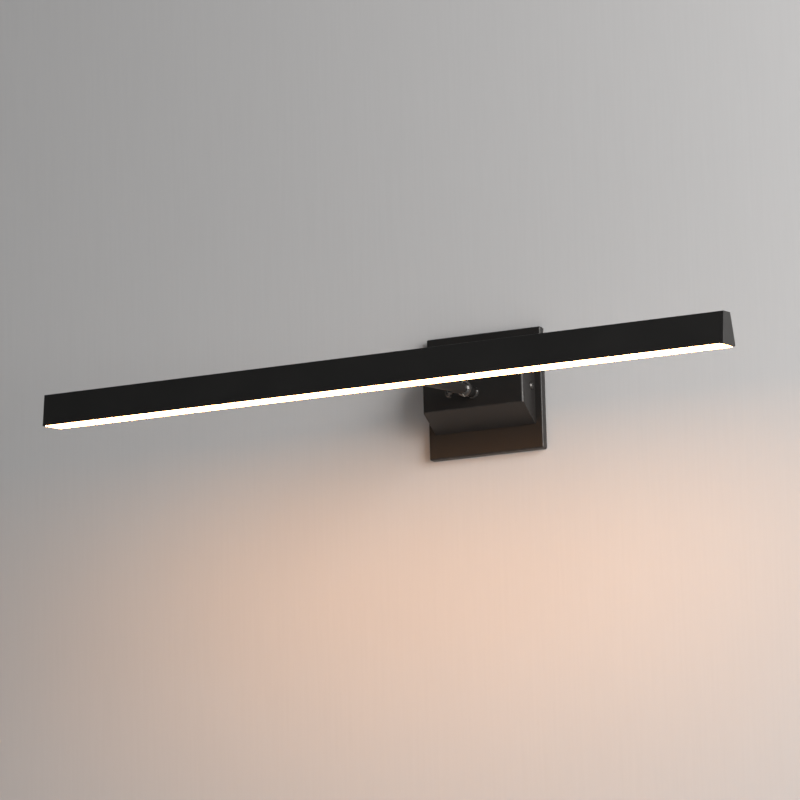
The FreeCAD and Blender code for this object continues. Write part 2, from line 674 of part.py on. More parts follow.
def make_lock_knob():
    """Flared, fluted knob on the pivot screw; it clamps the two half balls."""
    owner = body("lock_knob")
    start = "-ball_radius + spot_depth - washer_thick"
    tip = "cavity_half + thread_depth - thread_spare"
    outline = sketch(owner, "XY")
    add_outline(outline, [
        (tip, "0"),
        (tip, "pivot_radius"),
        (start, "pivot_radius"),
        (start, "1.35 * knob_neck"),
        (f"{start} - 0.15 * knob_length", "knob_neck"),
        (f"{start} - 0.3 * knob_length", "knob_neck"),
        (f"{start} - knob_length + knob_edge + knob_width", "knob_rim"),
        (f"{start} - knob_length + knob_edge", "knob_rim"),
        (f"{start} - knob_length", "knob_rim - knob_edge"),
        (f"{start} - knob_length", "0"),
    ])
    spin(owner, outline, "H_Axis")
    flute = sketch(owner, "YZ", f"{start} - knob_length - 1")
    add_ring(flute, "knob_rim + flute_out", "0", "flute_radius")
    first = sink(owner, flute, "knob_edge + 2 * knob_width + 1", backwards=True)
    ring = owner.newObject("PartDesign::PolarPattern", "lock_knob_flutes")
    ring.Originals = [first]
    ring.Axis = (outline, ["H_Axis"])
    ring.Angle = 360.0
    ring.Occurrences = 20
    owner.Tip = ring
    put_swivel(owner)
    gap = "pivot_radius + running_gap"
    on_arm(washer("knob_washer", "washer_radius", gap, "washer_thick", (start, "0", "0"), "X"))


def put_swivel(item):
    """Place a piece at the ball without the arm's droop."""
    return put(item, ("0", "-plate_depth - box_depth - ball_reach", "-ball_drop"))


# ---------------------------------------------------------------- arm
def slant():
    """How far the bar's side leans out for each millimetre down, as an expression."""
    return "((bar_bottom - bar_top) / 2 / bar_height)"


def half_width(up, inset="0"):
    """Half the bar's width at a height above its middle, moved in by inset."""
    lean = f"sqrt(1 + {slant()} ^ 2)"
    return f"((bar_bottom + bar_top) / 4 - ({up}) * {slant()} - ({inset}) * {lean})"


def make_arm():
    """Arm tube, and the wedge collar that seats it on the sloping back of the bar."""
    back = f"({half_width('0')})"
    end = "(reach - arm_radius + seat_gap)"
    tube = washer("arm_tube", "arm_radius", "arm_bore", f"{end} - neck_reach", ("0", f"-{end}", "0"), "Y")
    on_arm(tube)
    owner = body("arm_collar")
    side_view = sketch(owner, "YZ")
    radius = "(arm_radius + collar_wall)"
    add_outline(side_view, [
        (f"-reach + {back} + collar_length", "0"),
        (f"-reach + {back} + collar_length", "arm_radius + collar_wall / 2"),
        (f"-reach + {back} + collar_length - collar_wall / 2", radius),
        (f"-reach + {back} - collar_length", radius),
        (f"-reach + {back} - collar_length", "0"),
    ])
    spin(owner, side_view, "H_Axis")
    cut = sketch(owner, "YZ")
    low, high = "-bar_height", "bar_height"
    add_outline(cut, [
        (f"-reach + {half_width(low)}", low),
        (f"-reach + {half_width(high)}", high),
        ("-reach - 2 * bar_height", high),
        ("-reach - 2 * bar_height", low),
    ])
    sink(owner, cut, "2 * bar_height", symmetric=True)
    way = sketch(owner, "XZ", "reach")
    add_ring(way, "0", "0", "arm_radius")
    sink(owner, way, "4 * bar_height", symmetric=True)
    on_arm(owner)


def make_hanger():
    """Block inside the bar that the arm screws into, and its set screw."""
    owner = body("bar_hanger")
    side_view = sketch(owner, "YZ")
    low, high = "(-shelf_drop)", "(arm_radius + hanger_wall)"
    inset = "bar_wall + seat_gap"
    add_outline(side_view, [
        (f"-reach - {half_width(low, inset)}", low),
        (f"-reach + {half_width(low, inset)}", low),
        (f"-reach + {half_width(high, inset)}", high),
        (f"-reach - {half_width(high, inset)}", high),
    ])
    grow(owner, side_view, "hanger_length", symmetric=True)
    bore = sketch(owner, "XZ", "reach + 4.5")
    add_ring(bore, "0", "0", "arm_radius")
    sink(owner, bore, "40")
    drop = sketch(owner, "XY", "0")
    add_ring(drop, "0", "-reach", "arm_bore")
    sink(owner, drop, "2 * shelf_drop")
    grub = sketch(owner, "XY", "0")
    add_ring(grub, "0", "-reach + grub_spot", "grub_radius")
    sink(owner, grub, "2 * (arm_radius + hanger_wall)", backwards=True)
    on_arm(owner)
    height = "hanger_wall - 4 * seat_gap"
    pin = rod("grub_radius", height, ("0", "-reach + grub_spot", "arm_radius + seat_gap / 2"), "Z")
    on_arm(group("arm_grub_screw", [pin]))


def wire(points, radius, bend):
    """One wire: straight runs through points, joined by arcs of one bend radius."""
    edges = []
    last = points[0]
    for before, corner, after in zip(points, points[1:], points[2:]):
        towards = (corner - before).normalize()
        onwards = (after - corner).normalize()
        turn = towards.getAngle(onwards)
        trim = bend * math.tan(turn / 2)
        first = corner - towards * trim
        final = corner + onwards * trim
        inwards = (onwards - towards).normalize()
        middle = corner + inwards * (bend / math.cos(turn / 2) - bend)
        edges.append(Part.LineSegment(last, first).toShape())
        edges.append(Part.Arc(first, middle, final).toShape())
        last = final
    edges.append(Part.LineSegment(last, points[-1]).toShape())
    path = Part.Wire(edges)
    ring = Part.Wire([Part.Circle(points[0], points[1] - points[0], radius).toShape()])
    return path.makePipeShell([ring], True, True)


def make_wires():
    """Insulated wires: two through the arm, two from driver to ball, two to the splices."""
    size = VALUE
    thick = size["wire_radius"]
    bend = 3 * thick
    apart = size["wire_spread"]
    lamp = []
    for step in (-1, 1):
        up = step * apart
        turn = -size["reach"] - up
        lamp.append(wire([
            FreeCAD.Vector(-size["wire_offset"], -size["cavity_radius"], up),
            FreeCAD.Vector(-size["wire_offset"], turn, up),
            FreeCAD.Vector(-size["wire_offset"], turn, -size["shelf_drop"] - size["shelf_skin"]),
        ], thick, bend))
    add_feature("lamp_wires", lamp, on_arm)

    back = -size["plate_depth"] - size["ear_skin"]
    driver_up = (size["plate_screw_head"] + size["driver_gap"]) + size["driver_height"] / 2
    edge = size["driver_length"] / 2
    ball = -size["plate_depth"] - size["box_depth"] - size["ball_reach"]
    stem_end = -size["plate_depth"] - size["box_depth"] + size["stem_length"]
    output = []
    for step in (-1, 1):
        out = edge + 2 * bend + apart * step
        depth = stem_end + size["bush_lip"] + bend + apart * (1 - step)
        up = -size["ball_drop"] + apart * step
        output.append(wire([
            FreeCAD.Vector(edge, depth, driver_up),
            FreeCAD.Vector(out, depth, driver_up),
            FreeCAD.Vector(out, depth, up),
            FreeCAD.Vector(size["wire_offset"], depth, up),
            FreeCAD.Vector(size["wire_offset"], ball + size["cavity_radius"], up),
        ], thick, bend))
    add_feature("stem_wires", output, None)

    lean = (size["box_base"] - size["box_front"]) / 2 / size["box_depth"]
    below = (size["box_skin"] + size["connector_clear"] + size["connector_radius"]) * math.hypot(1, lean)
    splice_up = -size["box_base"] / 2 + lean * (size["ear_skin"] + size["connector_ahead"]) + below
    mouth = size["connector_pitch"] + size["connector_length"] / 2
    mains = []
    for side in (-1, 1):
        out = side * (edge + 2 * bend + 4)
        depth = back - size["connector_ahead"] - 3.5
        mains.append(wire([
            FreeCAD.Vector(side * edge, depth, driver_up + 3),
            FreeCAD.Vector(out, depth, driver_up + 3),
            FreeCAD.Vector(out, depth, splice_up),
            FreeCAD.Vector(side * mouth, depth, splice_up),
        ], thick, bend))
    add_feature("mains_wires", mains, None)


def add_feature(label, solids, place):
    """Hold finished solids as one feature, and place it."""
    made = doc.addObject("Part::Feature", label)
    made.Shape = Part.makeCompound(solids)
    made.Label = label
    if place:
        place(made)


# ---------------------------------------------------------------- LED bar
def section(up_top, up_bottom, inset="0"):
    """Corners of the bar's tapered section between two heights, in Y and Z."""
    low, high = half_width(up_bottom, inset), half_width(up_top, inset)
    return [
        (f"-reach - {low}", up_bottom),
        (f"-reach + {low}", up_bottom),
        (f"-reach + {high}", up_top),
        (f"-reach - {high}", up_top),
    ]


def on_top(edge, top):
    """Whether the middle of an edge is at the height of the top face."""
    return edge.CenterOfMass.z > top - 0.1


def make_housing():
    """Extruded tapered channel with an inner shelf for the LED board."""
    owner = body("bar_housing")
    length = "bar_length - 2 * cap_thick"
    outer = sketch(owner, "YZ")
    add_outline(outer, section("bar_height / 2", "-bar_height / 2"))
    shell = grow(owner, outer, length, symmetric=True)
    top = VALUE["bar_height"] / 2
    round_edges(owner, shell, "bar_edge", lambda edge: runs_along(edge, 0) and on_top(edge, top))
    upper = sketch(owner, "YZ")
    add_outline(upper, section("bar_height / 2 - bar_wall", "-shelf_drop", "bar_wall"))
    sink(owner, upper, length, symmetric=True)
    lower = sketch(owner, "YZ")
    add_outline(lower, section("-shelf_drop - shelf_skin", "-bar_height / 2 - 1", "bar_wall"))
    sink(owner, lower, length, symmetric=True)
    way = sketch(owner, "XZ", "reach")
    add_ring(way, "0", "0", "arm_radius")
    sink(owner, way, "60")
    drop = sketch(owner, "XY")
    add_ring(drop, "0", "-reach", "arm_bore")
    for across in board_screw_spots():
        add_ring(drop, across, "-reach", "board_screw_radius")
    sink(owner, drop, "shelf_drop + shelf_skin + 1")
    on_arm(owner)


def make_caps():
    """End caps: a flush face with a plug that fits the upper hollow."""
    for side, label in ((-1, "end_cap_left"), (1, "end_cap_right")):
        owner = body(label)
        face = sketch(owner, "YZ", f"{side} * (bar_length / 2 - cap_thick)")
        add_outline(face, section("bar_height / 2", "-bar_height / 2"))
        plate = grow(owner, face, "cap_thick", backwards=side < 0)
        top = VALUE["bar_height"] / 2
        round_edges(owner, plate, "bar_edge", lambda edge: runs_along(edge, 0) and on_top(edge, top))
        inside = "bar_wall + seat_gap"
        plug = sketch(owner, "YZ", f"{side} * (bar_length / 2 - cap_thick)")
        add_outline(plug, section("bar_height / 2 - bar_wall - seat_gap", "-shelf_drop + seat_gap", inside))
        grow(owner, plug, "cap_plug", backwards=side > 0)
        core = sketch(owner, "YZ", f"{side} * (bar_length / 2 - cap_thick)")
        wall = "bar_wall + seat_gap + 2"
        add_outline(core, section("bar_height / 2 - bar_wall - 2", "-shelf_drop + 2", wall))
        sink(owner, core, "cap_plug", backwards=side < 0)
        on_arm(owner)


def make_lens():
    """Opal lens under the whole bar: a skin that stands below it and two legs inside."""
    owner = body("lens")
    length = "bar_length - 2 * cap_thick"
    rim = "-bar_height / 2"
    wide = half_width(rim)
    leg = half_width(rim, "bar_wall + seat_gap")
    high = half_width(f"{rim} + lens_leg", "bar_wall + seat_gap")
    outline = sketch(owner, "YZ")
    bottom = f"{rim} - lens_lip"
    add_outline(outline, [
        (f"-reach - {wide}", rim),
        (f"-reach - {wide}", f"{rim} - lens_lip * 0.4"),
        (f"-reach - {wide} + lens_lip * 0.9", bottom),
        (f"-reach + {wide} - lens_lip * 0.9", bottom),
        (f"-reach + {wide}", f"{rim} - lens_lip * 0.4"),
        (f"-reach + {wide}", rim),
        (f"-reach + {leg}", rim),
        (f"-reach + {high}", f"{rim} + lens_leg"),
        (f"-reach + {high} - lens_skin", f"{rim} + lens_leg"),
        (f"-reach + {leg} - lens_skin", f"{bottom} + lens_skin"),
        (f"-reach - {leg} + lens_skin", f"{bottom} + lens_skin"),
        (f"-reach - {high} + lens_skin", f"{rim} + lens_leg"),
        (f"-reach - {high}", f"{rim} + lens_leg"),
        (f"-reach - {leg}", rim),
    ])
    grow(owner, outline, f"{length} - 2 * seat_gap", symmetric=True)
    on_arm(owner)


def make_board():
    """LED board under the shelf, its chips and its screws."""
    owner = body("led_board")
    under = "-shelf_drop - shelf_skin"
    face = sketch(owner, "XY", f"{under} - board_thick")
    length = "bar_length - 2 * cap_thick - board_short"
    add_outline(face, rectangle(length, "board_width", "0", "-reach"))
    grow(owner, face, "board_thick")
    holes = sketch(owner, "XY", under)
    for across in board_screw_spots():
        add_ring(holes, across, "-reach", "board_screw_radius")
    sink(owner, holes, "2 * board_thick")
    on_arm(owner)
    board_length = VALUE["bar_length"] - 2 * VALUE["cap_thick"] - VALUE["board_short"]
    count = int((board_length - VALUE["chip_length"]) / VALUE["chip_pitch"] / 2) * 2
    chips = []
    for index in range(count):
        across = f"{index - (count - 1) / 2} * chip_pitch"
        spot = (across, "-reach", f"{under} - board_thick - chip_thick / 2")
        chips.append(block("chip_length", "chip_width", "chip_thick", spot))
    on_arm(group("led_chips", chips))


def board_screw_spots():
    """Places of the board screws along the bar, each midway between two chips."""
    step = "2 * floor(bar_length / 8 / chip_pitch) * chip_pitch"
    return [f"{place} * {step}" for place in (-1.5, -0.5, 0.5, 1.5)]


def make_board_screws():
    """Four screws through the board into the shelf."""
    thick = "0.8"
    length = f"{thick} + board_thick + shelf_skin + 1"
    head = f"-shelf_drop - shelf_skin - board_thick - {thick}"
    screws = []
    for across in board_screw_spots():
        cap = rod("2 * board_screw_radius", thick, (across, "-reach", head), "Z")
        shank = rod("board_screw_radius", length, (across, "-reach", head), "Z")
        screws.append(join("BoardScrew", cap, shank))
    on_arm(group("board_screws", screws))


# ---------------------------------------------------------------- build and write
make_crossbar()
make_plate()
make_plate_screws()
make_ground_screw()
make_cover_box()
make_chassis()
make_side_screws()
make_driver()
make_wire_connectors()
make_swivel()
make_swivel_fixings()
make_lock_knob()
make_arm()
make_hanger()
make_wires()
make_housing()
make_caps()
make_lens()
make_board()
make_board_screws()

NODES = [
    "crossbar", "back_plate", "plate_screws", "ground_screw", "cover_box", "box_chassis", "side_screws",
    "driver_case", "driver_lid", "driver_board", "driver_screws", "wire_connectors", "mains_wires",
    "stem_wires",
    "swivel_rear", "friction_disc", "stem_washer", "stem_nut", "stem_bush", "lock_knob", "knob_washer",
    "swivel_front", "arm_tube", "arm_collar", "bar_hanger", "arm_grub_screw", "lamp_wires", "bar_housing",
    "end_cap_left", "end_cap_right", "led_board", "led_chips", "board_screws", "lens",
]

doc.recompute()
for item in doc.Objects:
    if {"Invalid", "Error"} & set(item.State):
        raise RuntimeError(f"{item.Label} failed: {item.State}")
labelled = {item.Label: item for item in doc.Objects}
for node in NODES:
    shape = labelled[node].Shape
    if shape.isNull() or not shape.isValid() or shape.Volume <= 0:
        raise RuntimeError(f"{node} is not a sound shape")

os.makedirs("parts", exist_ok=True)
for node in NODES:
    labelled[node].Shape.exportStep(f"parts/{node}.step")
    print(node, len(labelled[node].Shape.Solids), round(labelled[node].Shape.Volume, 1))
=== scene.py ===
"""Vanity light bar: the finished look of a long wall lamp on an arm and a ball swivel.

Metres throughout. The origin is on the wall behind the middle of the plate, -Y is the
front, +Z is up and +X runs along the bar. Everything that tilts with the arm is worked
out in the swivel frame: origin at the middle of the ball, arm along -Y, bar level.
"""
import json
import logging
import math
from abc import ABC, abstractmethod
from dataclasses import dataclass, field
from enum import Enum

import bmesh
import bpy
import numpy as np
from mathutils import Matrix, Vector


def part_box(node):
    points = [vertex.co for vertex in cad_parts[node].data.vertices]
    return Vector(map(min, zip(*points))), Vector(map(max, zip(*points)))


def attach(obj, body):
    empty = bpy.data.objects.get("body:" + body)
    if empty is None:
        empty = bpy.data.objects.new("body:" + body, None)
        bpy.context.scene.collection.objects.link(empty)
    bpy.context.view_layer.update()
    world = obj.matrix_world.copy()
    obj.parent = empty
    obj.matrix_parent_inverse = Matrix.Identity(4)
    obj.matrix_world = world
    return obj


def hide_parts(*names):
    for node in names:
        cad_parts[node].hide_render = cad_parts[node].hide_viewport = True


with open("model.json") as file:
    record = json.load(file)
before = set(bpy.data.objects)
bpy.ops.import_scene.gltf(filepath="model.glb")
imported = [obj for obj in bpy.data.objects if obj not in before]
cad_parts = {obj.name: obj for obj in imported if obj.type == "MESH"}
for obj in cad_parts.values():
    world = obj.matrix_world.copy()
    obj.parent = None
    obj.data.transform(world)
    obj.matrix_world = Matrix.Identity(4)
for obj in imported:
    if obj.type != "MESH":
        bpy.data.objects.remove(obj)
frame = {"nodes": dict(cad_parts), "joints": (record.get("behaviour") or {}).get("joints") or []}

LOG = logging.getLogger("vanity_light_bar")
MM = 0.001
MERGE = 1e-6            # points closer than this are one point
SUPPORT = 0.15 * MM     # distance of the extra row that keeps a flat face flat beside a bend
FLUSH = 0.9999          # share of a side's reach above which a point lies on its end
ARC_STEPS = 6           # pieces in each rounded corner
ROUND_STEPS = 96        # pieces round a turned part
SHARP_ANGLE = math.radians(38)
BEVEL_ANGLE = math.radians(30)
BEVEL_PIECES = 2


class Body(Enum):
    """The moving bodies that a piece can ride on."""

    WALL = "wall_mount"
    KNOB = "lock_knob"
    ARM = "arm"


class Slot(Enum):
    """The material slots of the part's record."""

    BLACK_COAT = "black_coat"
    BAR_COAT = "bar_coat"
    GLOSS_BLACK = "gloss_black"
    BLACK_SCREW = "black_screw"
    ZINC = "zinc_steel"
    GREEN_SCREW = "green_screw"
    LENS = "opal_lens"
    DRIVER = "driver_case"
    CIRCUIT = "circuit_board"
    CONNECTOR = "connector"
    WIRE = "wire_cover"
    MAINS = "mains_cover"
    NYLON = "nylon"
    ALLOY = "plain_alloy"
    BOARD = "board_white"
    PHOSPHOR = "led_phosphor"


# ------------------------------------------------------------------ outlines and surfaces
def unit(vectors: np.ndarray) -> np.ndarray:
    """Vectors of length one."""
    return vectors / np.maximum(np.linalg.norm(vectors, axis=-1, keepdims=True), 1e-12)


@dataclass(frozen=True)
class Line:
    """Points in a plane, each with how much of an edge it is, from 0 to 1."""

    points: np.ndarray
    edge: np.ndarray


def run(start: np.ndarray, end: np.ndarray, pieces: int) -> Line:
    """Points strictly between two places, one close to each end and the rest evenly spaced.

    Args:
        start: the first place.
        end: the last place.
        pieces: how many equal pieces the stretch is cut into.

    Returns:
        The points, none of which is on an edge.
    """
    length = max(float(np.linalg.norm(end - start)), 1e-9)
    near = min(SUPPORT / length, 0.2)
    middle = np.linspace(near, 1 - near, pieces + 1)[1:-1]
    share = np.concatenate([[near], middle, [1 - near]])
    return Line(start + (end - start) * share[:, None], np.zeros(len(share)))


def arcs(before: np.ndarray, corner: np.ndarray, after: np.ndarray, radius: np.ndarray) -> np.ndarray:
    """Arcs that round corners: the middle of each is on the bisector, at radius / sin(half the corner).

    Args:
        before: the point before each corner.
        corner: the corners.
        after: the point after each corner.
        radius: the radius of each arc.

    Returns:
        Points as (corner, step, 2).
    """
    back, onward = unit(before - corner), unit(after - corner)
    half = 0.5 * np.arccos(np.clip(np.sum(back * onward, axis=1), -0.9999, 0.9999))
    middle = corner + unit(back + onward) * (radius / np.sin(half))[:, None]
    first = corner + back * (radius / np.tan(half))[:, None] - middle
    last = corner + onward * (radius / np.tan(half))[:, None] - middle
    share = np.linspace(0, 1, ARC_STEPS + 1)[None, :, None]
    turn = (math.pi - 2 * half)[:, None, None]
    swept = np.sin((1 - share) * turn) * first[:, None] + np.sin(share * turn) * last[:, None]
    return middle[:, None] + swept / np.sin(turn)


def gather(lines: list[Line]) -> Line:
    """Several lines end to end as one."""
    return Line(np.vstack([x.points for x in lines]), np.concatenate([x.edge for x in lines]))


ARC_EDGE = np.sin(np.linspace(0, math.pi, ARC_STEPS + 1))


def closed_outline(corners: list[tuple[float, float]], radii: list[float], pieces: list[int]) -> Line:
    """A closed outline: an arc at every corner, and every side cut into its number of pieces.

    Args:
        corners: the corners in order.
        radii: the radius at each corner.
        pieces: the number of pieces of the side that follows each corner.

    Returns:
        The outline, whose edge value peaks in the middle of each arc.
    """
    spots = np.asarray(corners, float)
    bends = arcs(np.roll(spots, 1, 0), spots, np.roll(spots, -1, 0), np.asarray(radii, float))
    lines = []
    for index, bend in enumerate(bends):
        lines.append(Line(bend, ARC_EDGE))
        lines.append(run(bend[-1], bends[(index + 1) % len(bends)][0], pieces[index]))
    return gather(lines)


def open_outline(corners: list[tuple[float, float]], radii: list[float], pieces: int = 1) -> Line:
    """An open outline from the first point to the last, with an arc at each point between.

    Args:
        corners: the points in order.
        radii: the radius at each point between the first and the last.
        pieces: how many pieces each straight stretch has.

    Returns:
        The outline.
    """
    spots = np.asarray(corners, float)
    bends = arcs(spots[:-2], spots[1:-1], spots[2:], np.asarray(radii, float))
    ends = [spots[:1], *bends, spots[-1:]]
    lines = [Line(spots[:1], np.zeros(1))]
    for index in range(len(ends) - 1):
        lines.append(run(ends[index][-1], ends[index + 1][0], pieces))
        if index < len(bends):
            lines.append(Line(bends[index], ARC_EDGE))
    lines.append(Line(spots[-1:], np.zeros(1)))
    return gather(lines)


class Shell:
    """Surfaces gathered into the mesh of one piece."""

    def __init__(self) -> None:
        """Start with nothing."""
        self.points: list[np.ndarray] = []
        self.edges: list[np.ndarray] = []
        self.faces: list[list[int]] = []
        self.count = 0

    def add(self, grid: np.ndarray, edge: np.ndarray, round_rows: bool = False) -> None:
        """Add a surface given as a grid of points, whose last column joins the first.

        Args:
            grid: points as (row, column, 3).
            edge: how much of an edge each point is, as (row, column).
            round_rows: whether the last row joins the first.
        """
        rows, columns = grid.shape[:2]
        index = np.arange(rows * columns).reshape(rows, columns) + self.count
        if round_rows:
            index = np.vstack([index, index[:1]])
        index = np.hstack([index, index[:, :1]])
        quads = np.stack([index[:-1, :-1], index[1:, :-1], index[1:, 1:], index[:-1, 1:]], axis=-1)
        self.points.append(grid.reshape(-1, 3))
        self.edges.append(np.broadcast_to(edge, (rows, columns)).reshape(-1))
        self.faces += quads.reshape(-1, 4).tolist()
        self.count += rows * columns

    def lid(self, loop: np.ndarray) -> None:
        """Close a flat loop of points, given as (point, 3), with one face."""
        self.points.append(loop)
        self.edges.append(np.zeros(len(loop)))
        self.faces.append(list(range(self.count, self.count + len(loop))))
        self.count += len(loop)

    def add_closed(self, grid: np.ndarray, edge: np.ndarray) -> None:
        """Add a surface and close its first and last rows."""
        self.add(grid, edge)
        self.lid(grid[0])
        self.lid(grid[-1])

    def piece(self, name: str) -> bpy.types.Object:
        """The finished object: points that meet merged, faces outwards, bends smooth.

        Args:
            name: the object's name.

        Returns:
            The object, at the origin, with its place in its mesh.
        """
        mesh = bpy.data.meshes.new(name)
        mesh.from_pydata(np.vstack(self.points).tolist(), [], self.faces)
        marks = mesh.attributes.new("edge", "FLOAT", "POINT")
        marks.data.foreach_set("value", np.concatenate(self.edges).astype(np.float32))
        return settle(name, mesh)


def settle(name: str, mesh: bpy.types.Mesh) -> bpy.types.Object:
    """Merge points that meet, turn faces outwards, and shade bends smooth and edges sharp."""
    work = bmesh.new()
    work.from_mesh(mesh)
    bmesh.ops.remove_doubles(work, verts=work.verts, dist=MERGE)
    bmesh.ops.dissolve_degenerate(work, edges=work.edges, dist=MERGE * 0.5)
    bmesh.ops.recalc_face_normals(work, faces=work.faces)
    work.to_mesh(mesh)
    work.free()
    mesh.shade_smooth()
    mesh.set_sharp_from_angle(angle=SHARP_ANGLE)
    made = bpy.data.objects.new(name, mesh)
    bpy.context.scene.collection.objects.link(made)
    return made


class Axis(Enum):
    """The direction that a turned part is turned about, and the two across it."""

    X = ((1, 0, 0), (0, 1, 0), (0, 0, 1))
    Y = ((0, 1, 0), (0, 0, 1), (1, 0, 0))


def turned(profile: Line, axis: Axis, steps: int = ROUND_STEPS) -> tuple[np.ndarray, np.ndarray]:
    """A profile carried once round an axis: along * axis + radius * (cos t * first + sin t * second).

    Args:
        profile: points as (distance along the axis, radius).
        axis: the axis.
        steps: points round it.

    Returns:
        The grid of points and the edge value of each.
    """
    along, first, second = (np.array(v, float) for v in axis.value)
    angle = np.linspace(0, 2 * math.pi, steps, endpoint=False)
    across = np.cos(angle)[:, None] * first + np.sin(angle)[:, None] * second
    grid = profile.points[:, 0, None, None] * along + profile.points[:, 1, None, None] * across
    return grid, np.repeat(profile.edge[:, None], steps, axis=1)


@dataclass(frozen=True)
class Place:
    """Where a local frame sits in the row frame: a turn about X and then a move."""

    origin: Vector
    droop: float = 0.0

    def row(self, points: np.ndarray) -> np.ndarray:
        """Points of the local frame given in the row frame."""
        cosine, sine = math.cos(self.droop), math.sin(self.droop)
        turn = np.array([[1, 0, 0], [0, cosine, -sine], [0, sine, cosine]])
        return points @ turn.T + np.array(self.origin)


def merged_copy(node: str, name: str, bevel: float) -> bpy.types.Object:
    """A CAD node's mesh as a new piece, its loose triangles merged and its edges bevelled.

    Args:
        node: the CAD node.
        name: the new piece's name.
        bevel: width of the bevel.

    Returns:
        The new object.
    """
    made = settle(name, frame["nodes"][node].data.copy())
    cut = made.modifiers.new("edge_bevel", "BEVEL")
    cut.width, cut.segments, cut.limit_method = bevel, BEVEL_PIECES, "ANGLE"
    cut.angle_limit = BEVEL_ANGLE
    cut.harden_normals = True
    return made


# ------------------------------------------------------------------ node graphs and effects
class Graph:
    """Short ways to build one node tree."""

    def __init__(self, tree: bpy.types.NodeTree) -> None:
        """Work on a tree."""
        self.tree = tree

    def add(self, kind: str, inputs: dict | None = None, **settings: object) -> bpy.types.Node:
        """Add a node.

        Args:
            kind: the node's type without the word ShaderNode.
            inputs: a constant or a socket for each named or numbered input.
            settings: the node's own properties.

        Returns:
            The node.
        """
        made = self.tree.nodes.new("ShaderNode" + kind)
        for key, value in settings.items():
            setattr(made, key, value)
        for key, value in (inputs or {}).items():
            if isinstance(value, bpy.types.NodeSocket):
                self.tree.links.new(value, made.inputs[key])
            else:
                made.inputs[key].default_value = value
        return made

    def maths(self, operation: str, *values: object) -> bpy.types.NodeSocket:
        """The result of a Math node on up to three values or sockets."""
        return self.add("Math", dict(enumerate(values)), operation=operation).outputs[0]

    def between(self, value: object, low: float, high: float) -> bpy.types.NodeSocket:
        """How far a value is from low to high, smoothly, from 0 to 1."""
        inputs = {"Value": value, "From Min": low, "From Max": high}
        return self.add("MapRange", inputs, interpolation_type="SMOOTHSTEP").outputs[0]

    def mix(self, share: object, first: object, second: object) -> bpy.types.NodeSocket:
        """Two colours mixed."""
        made = self.add("Mix", {0: share, 6: first, 7: second}, data_type="RGBA")
        return made.outputs[2]

    def place(self) -> bpy.types.NodeSocket:
        """Object coordinates, in metres in the row frame at rest."""
        return self.add("TexCoord").outputs["Object"]

    def noise(self, scale: object, detail: float = 2.0, where: object = None) -> bpy.types.NodeSocket:
        """Noise, from 0 to 1, of so many lumps to a metre."""
        inputs = {"Scale": scale, "Detail": detail, "Vector": where or self.place()}
        return self.add("TexNoise", inputs).outputs[0]

    def stretched(self, scale: tuple[float, float, float]) -> bpy.types.NodeSocket:
        """Object coordinates stretched by a factor along each axis."""
        return self.add("Mapping", {"Vector": self.place(), "Scale": scale}).outputs[0]


class Effect(Enum):
    """Surface effects that several finishes share, each a node group built once."""

    PEEL = "orange_peel"
    WEAR = "edge_wear"
    DUST = "settled_dust"
    GRAIN = "drawn_grain"
    SPECKLE = "moulded_texture"


SOCKETS = {
    Effect.PEEL: (["Scale", "Speckle"], ["Height", "Tone"]),
    Effect.WEAR: (["Edge", "Scale", "Amount"], ["Mask"]),
    Effect.DUST: (["Scale", "Amount"], ["Mask"]),
    Effect.GRAIN: (["Scale"], ["Height", "Tone"]),
    Effect.SPECKLE: (["Scale"], ["Height", "Tone"]),
}


def new_group(effect: Effect) -> tuple[Graph, dict, bpy.types.Node]:
    """An empty node group with an effect's named inputs and outputs.

    Args:
        effect: the effect.

    Returns:
        The graph, its input sockets by name, and its output node.
    """
    tree = bpy.data.node_groups.new(effect.value, "ShaderNodeTree")
    inputs, outputs = SOCKETS[effect]
    for name in inputs:
        tree.interface.new_socket(name, in_out="INPUT", socket_type="NodeSocketFloat")
    for name in outputs:
        tree.interface.new_socket(name, in_out="OUTPUT", socket_type="NodeSocketFloat")
    start, end = tree.nodes.new("NodeGroupInput"), tree.nodes.new("NodeGroupOutput")
    return Graph(tree), {name: start.outputs[name] for name in inputs}, end


def build_peel() -> None:
    """Powder coat: shallow lumps that ran together, fine speckle, and cloudy tone."""
    graph, given, end = new_group(Effect.PEEL)
    lumps = graph.noise(given["Scale"], 2.0)
    fine = graph.noise(graph.maths("MULTIPLY", given["Scale"], 4.3), 1.0)
    height = graph.maths("MULTIPLY_ADD", fine, given["Speckle"], lumps)
    clouds = graph.noise(graph.maths("MULTIPLY", given["Scale"], 0.04), 3.0)
    graph.tree.links.new(height, end.inputs["Height"])
    graph.tree.links.new(clouds, end.inputs["Tone"])


def build_wear_and_highlight() -> None:
    """Wear and a painted highlight: along the rounded edges, broken up by noise so that it comes and goes.
    """
    graph, given, end = new_group(Effect.WEAR)
    patches = graph.noise(given["Scale"], 4.0)
    # edge mask for abrasion plus a painted highlight on the rounded edges
    worn_and_highlit = graph.maths("MULTIPLY", given["Edge"], patches)
    mask = graph.maths("MULTIPLY", graph.between(worn_and_highlit, 0.42, 0.62), given["Amount"])
    graph.tree.links.new(mask, end.inputs["Mask"])


def build_dust() -> None:
    """Dust: thin, cloudy, and only on what faces up."""
    graph, given, end = new_group(Effect.DUST)
    normal = graph.add("NewGeometry").outputs["Normal"]
    up = graph.add("SeparateXYZ", {0: normal}).outputs["Z"]
    clouds = graph.noise(given["Scale"], 5.0)
    lying = graph.maths("MULTIPLY", graph.between(up, 0.35, 0.95), graph.between(clouds, 0.3, 0.75))
    graph.tree.links.new(graph.maths("MULTIPLY", lying, given["Amount"]), end.inputs["Mask"])


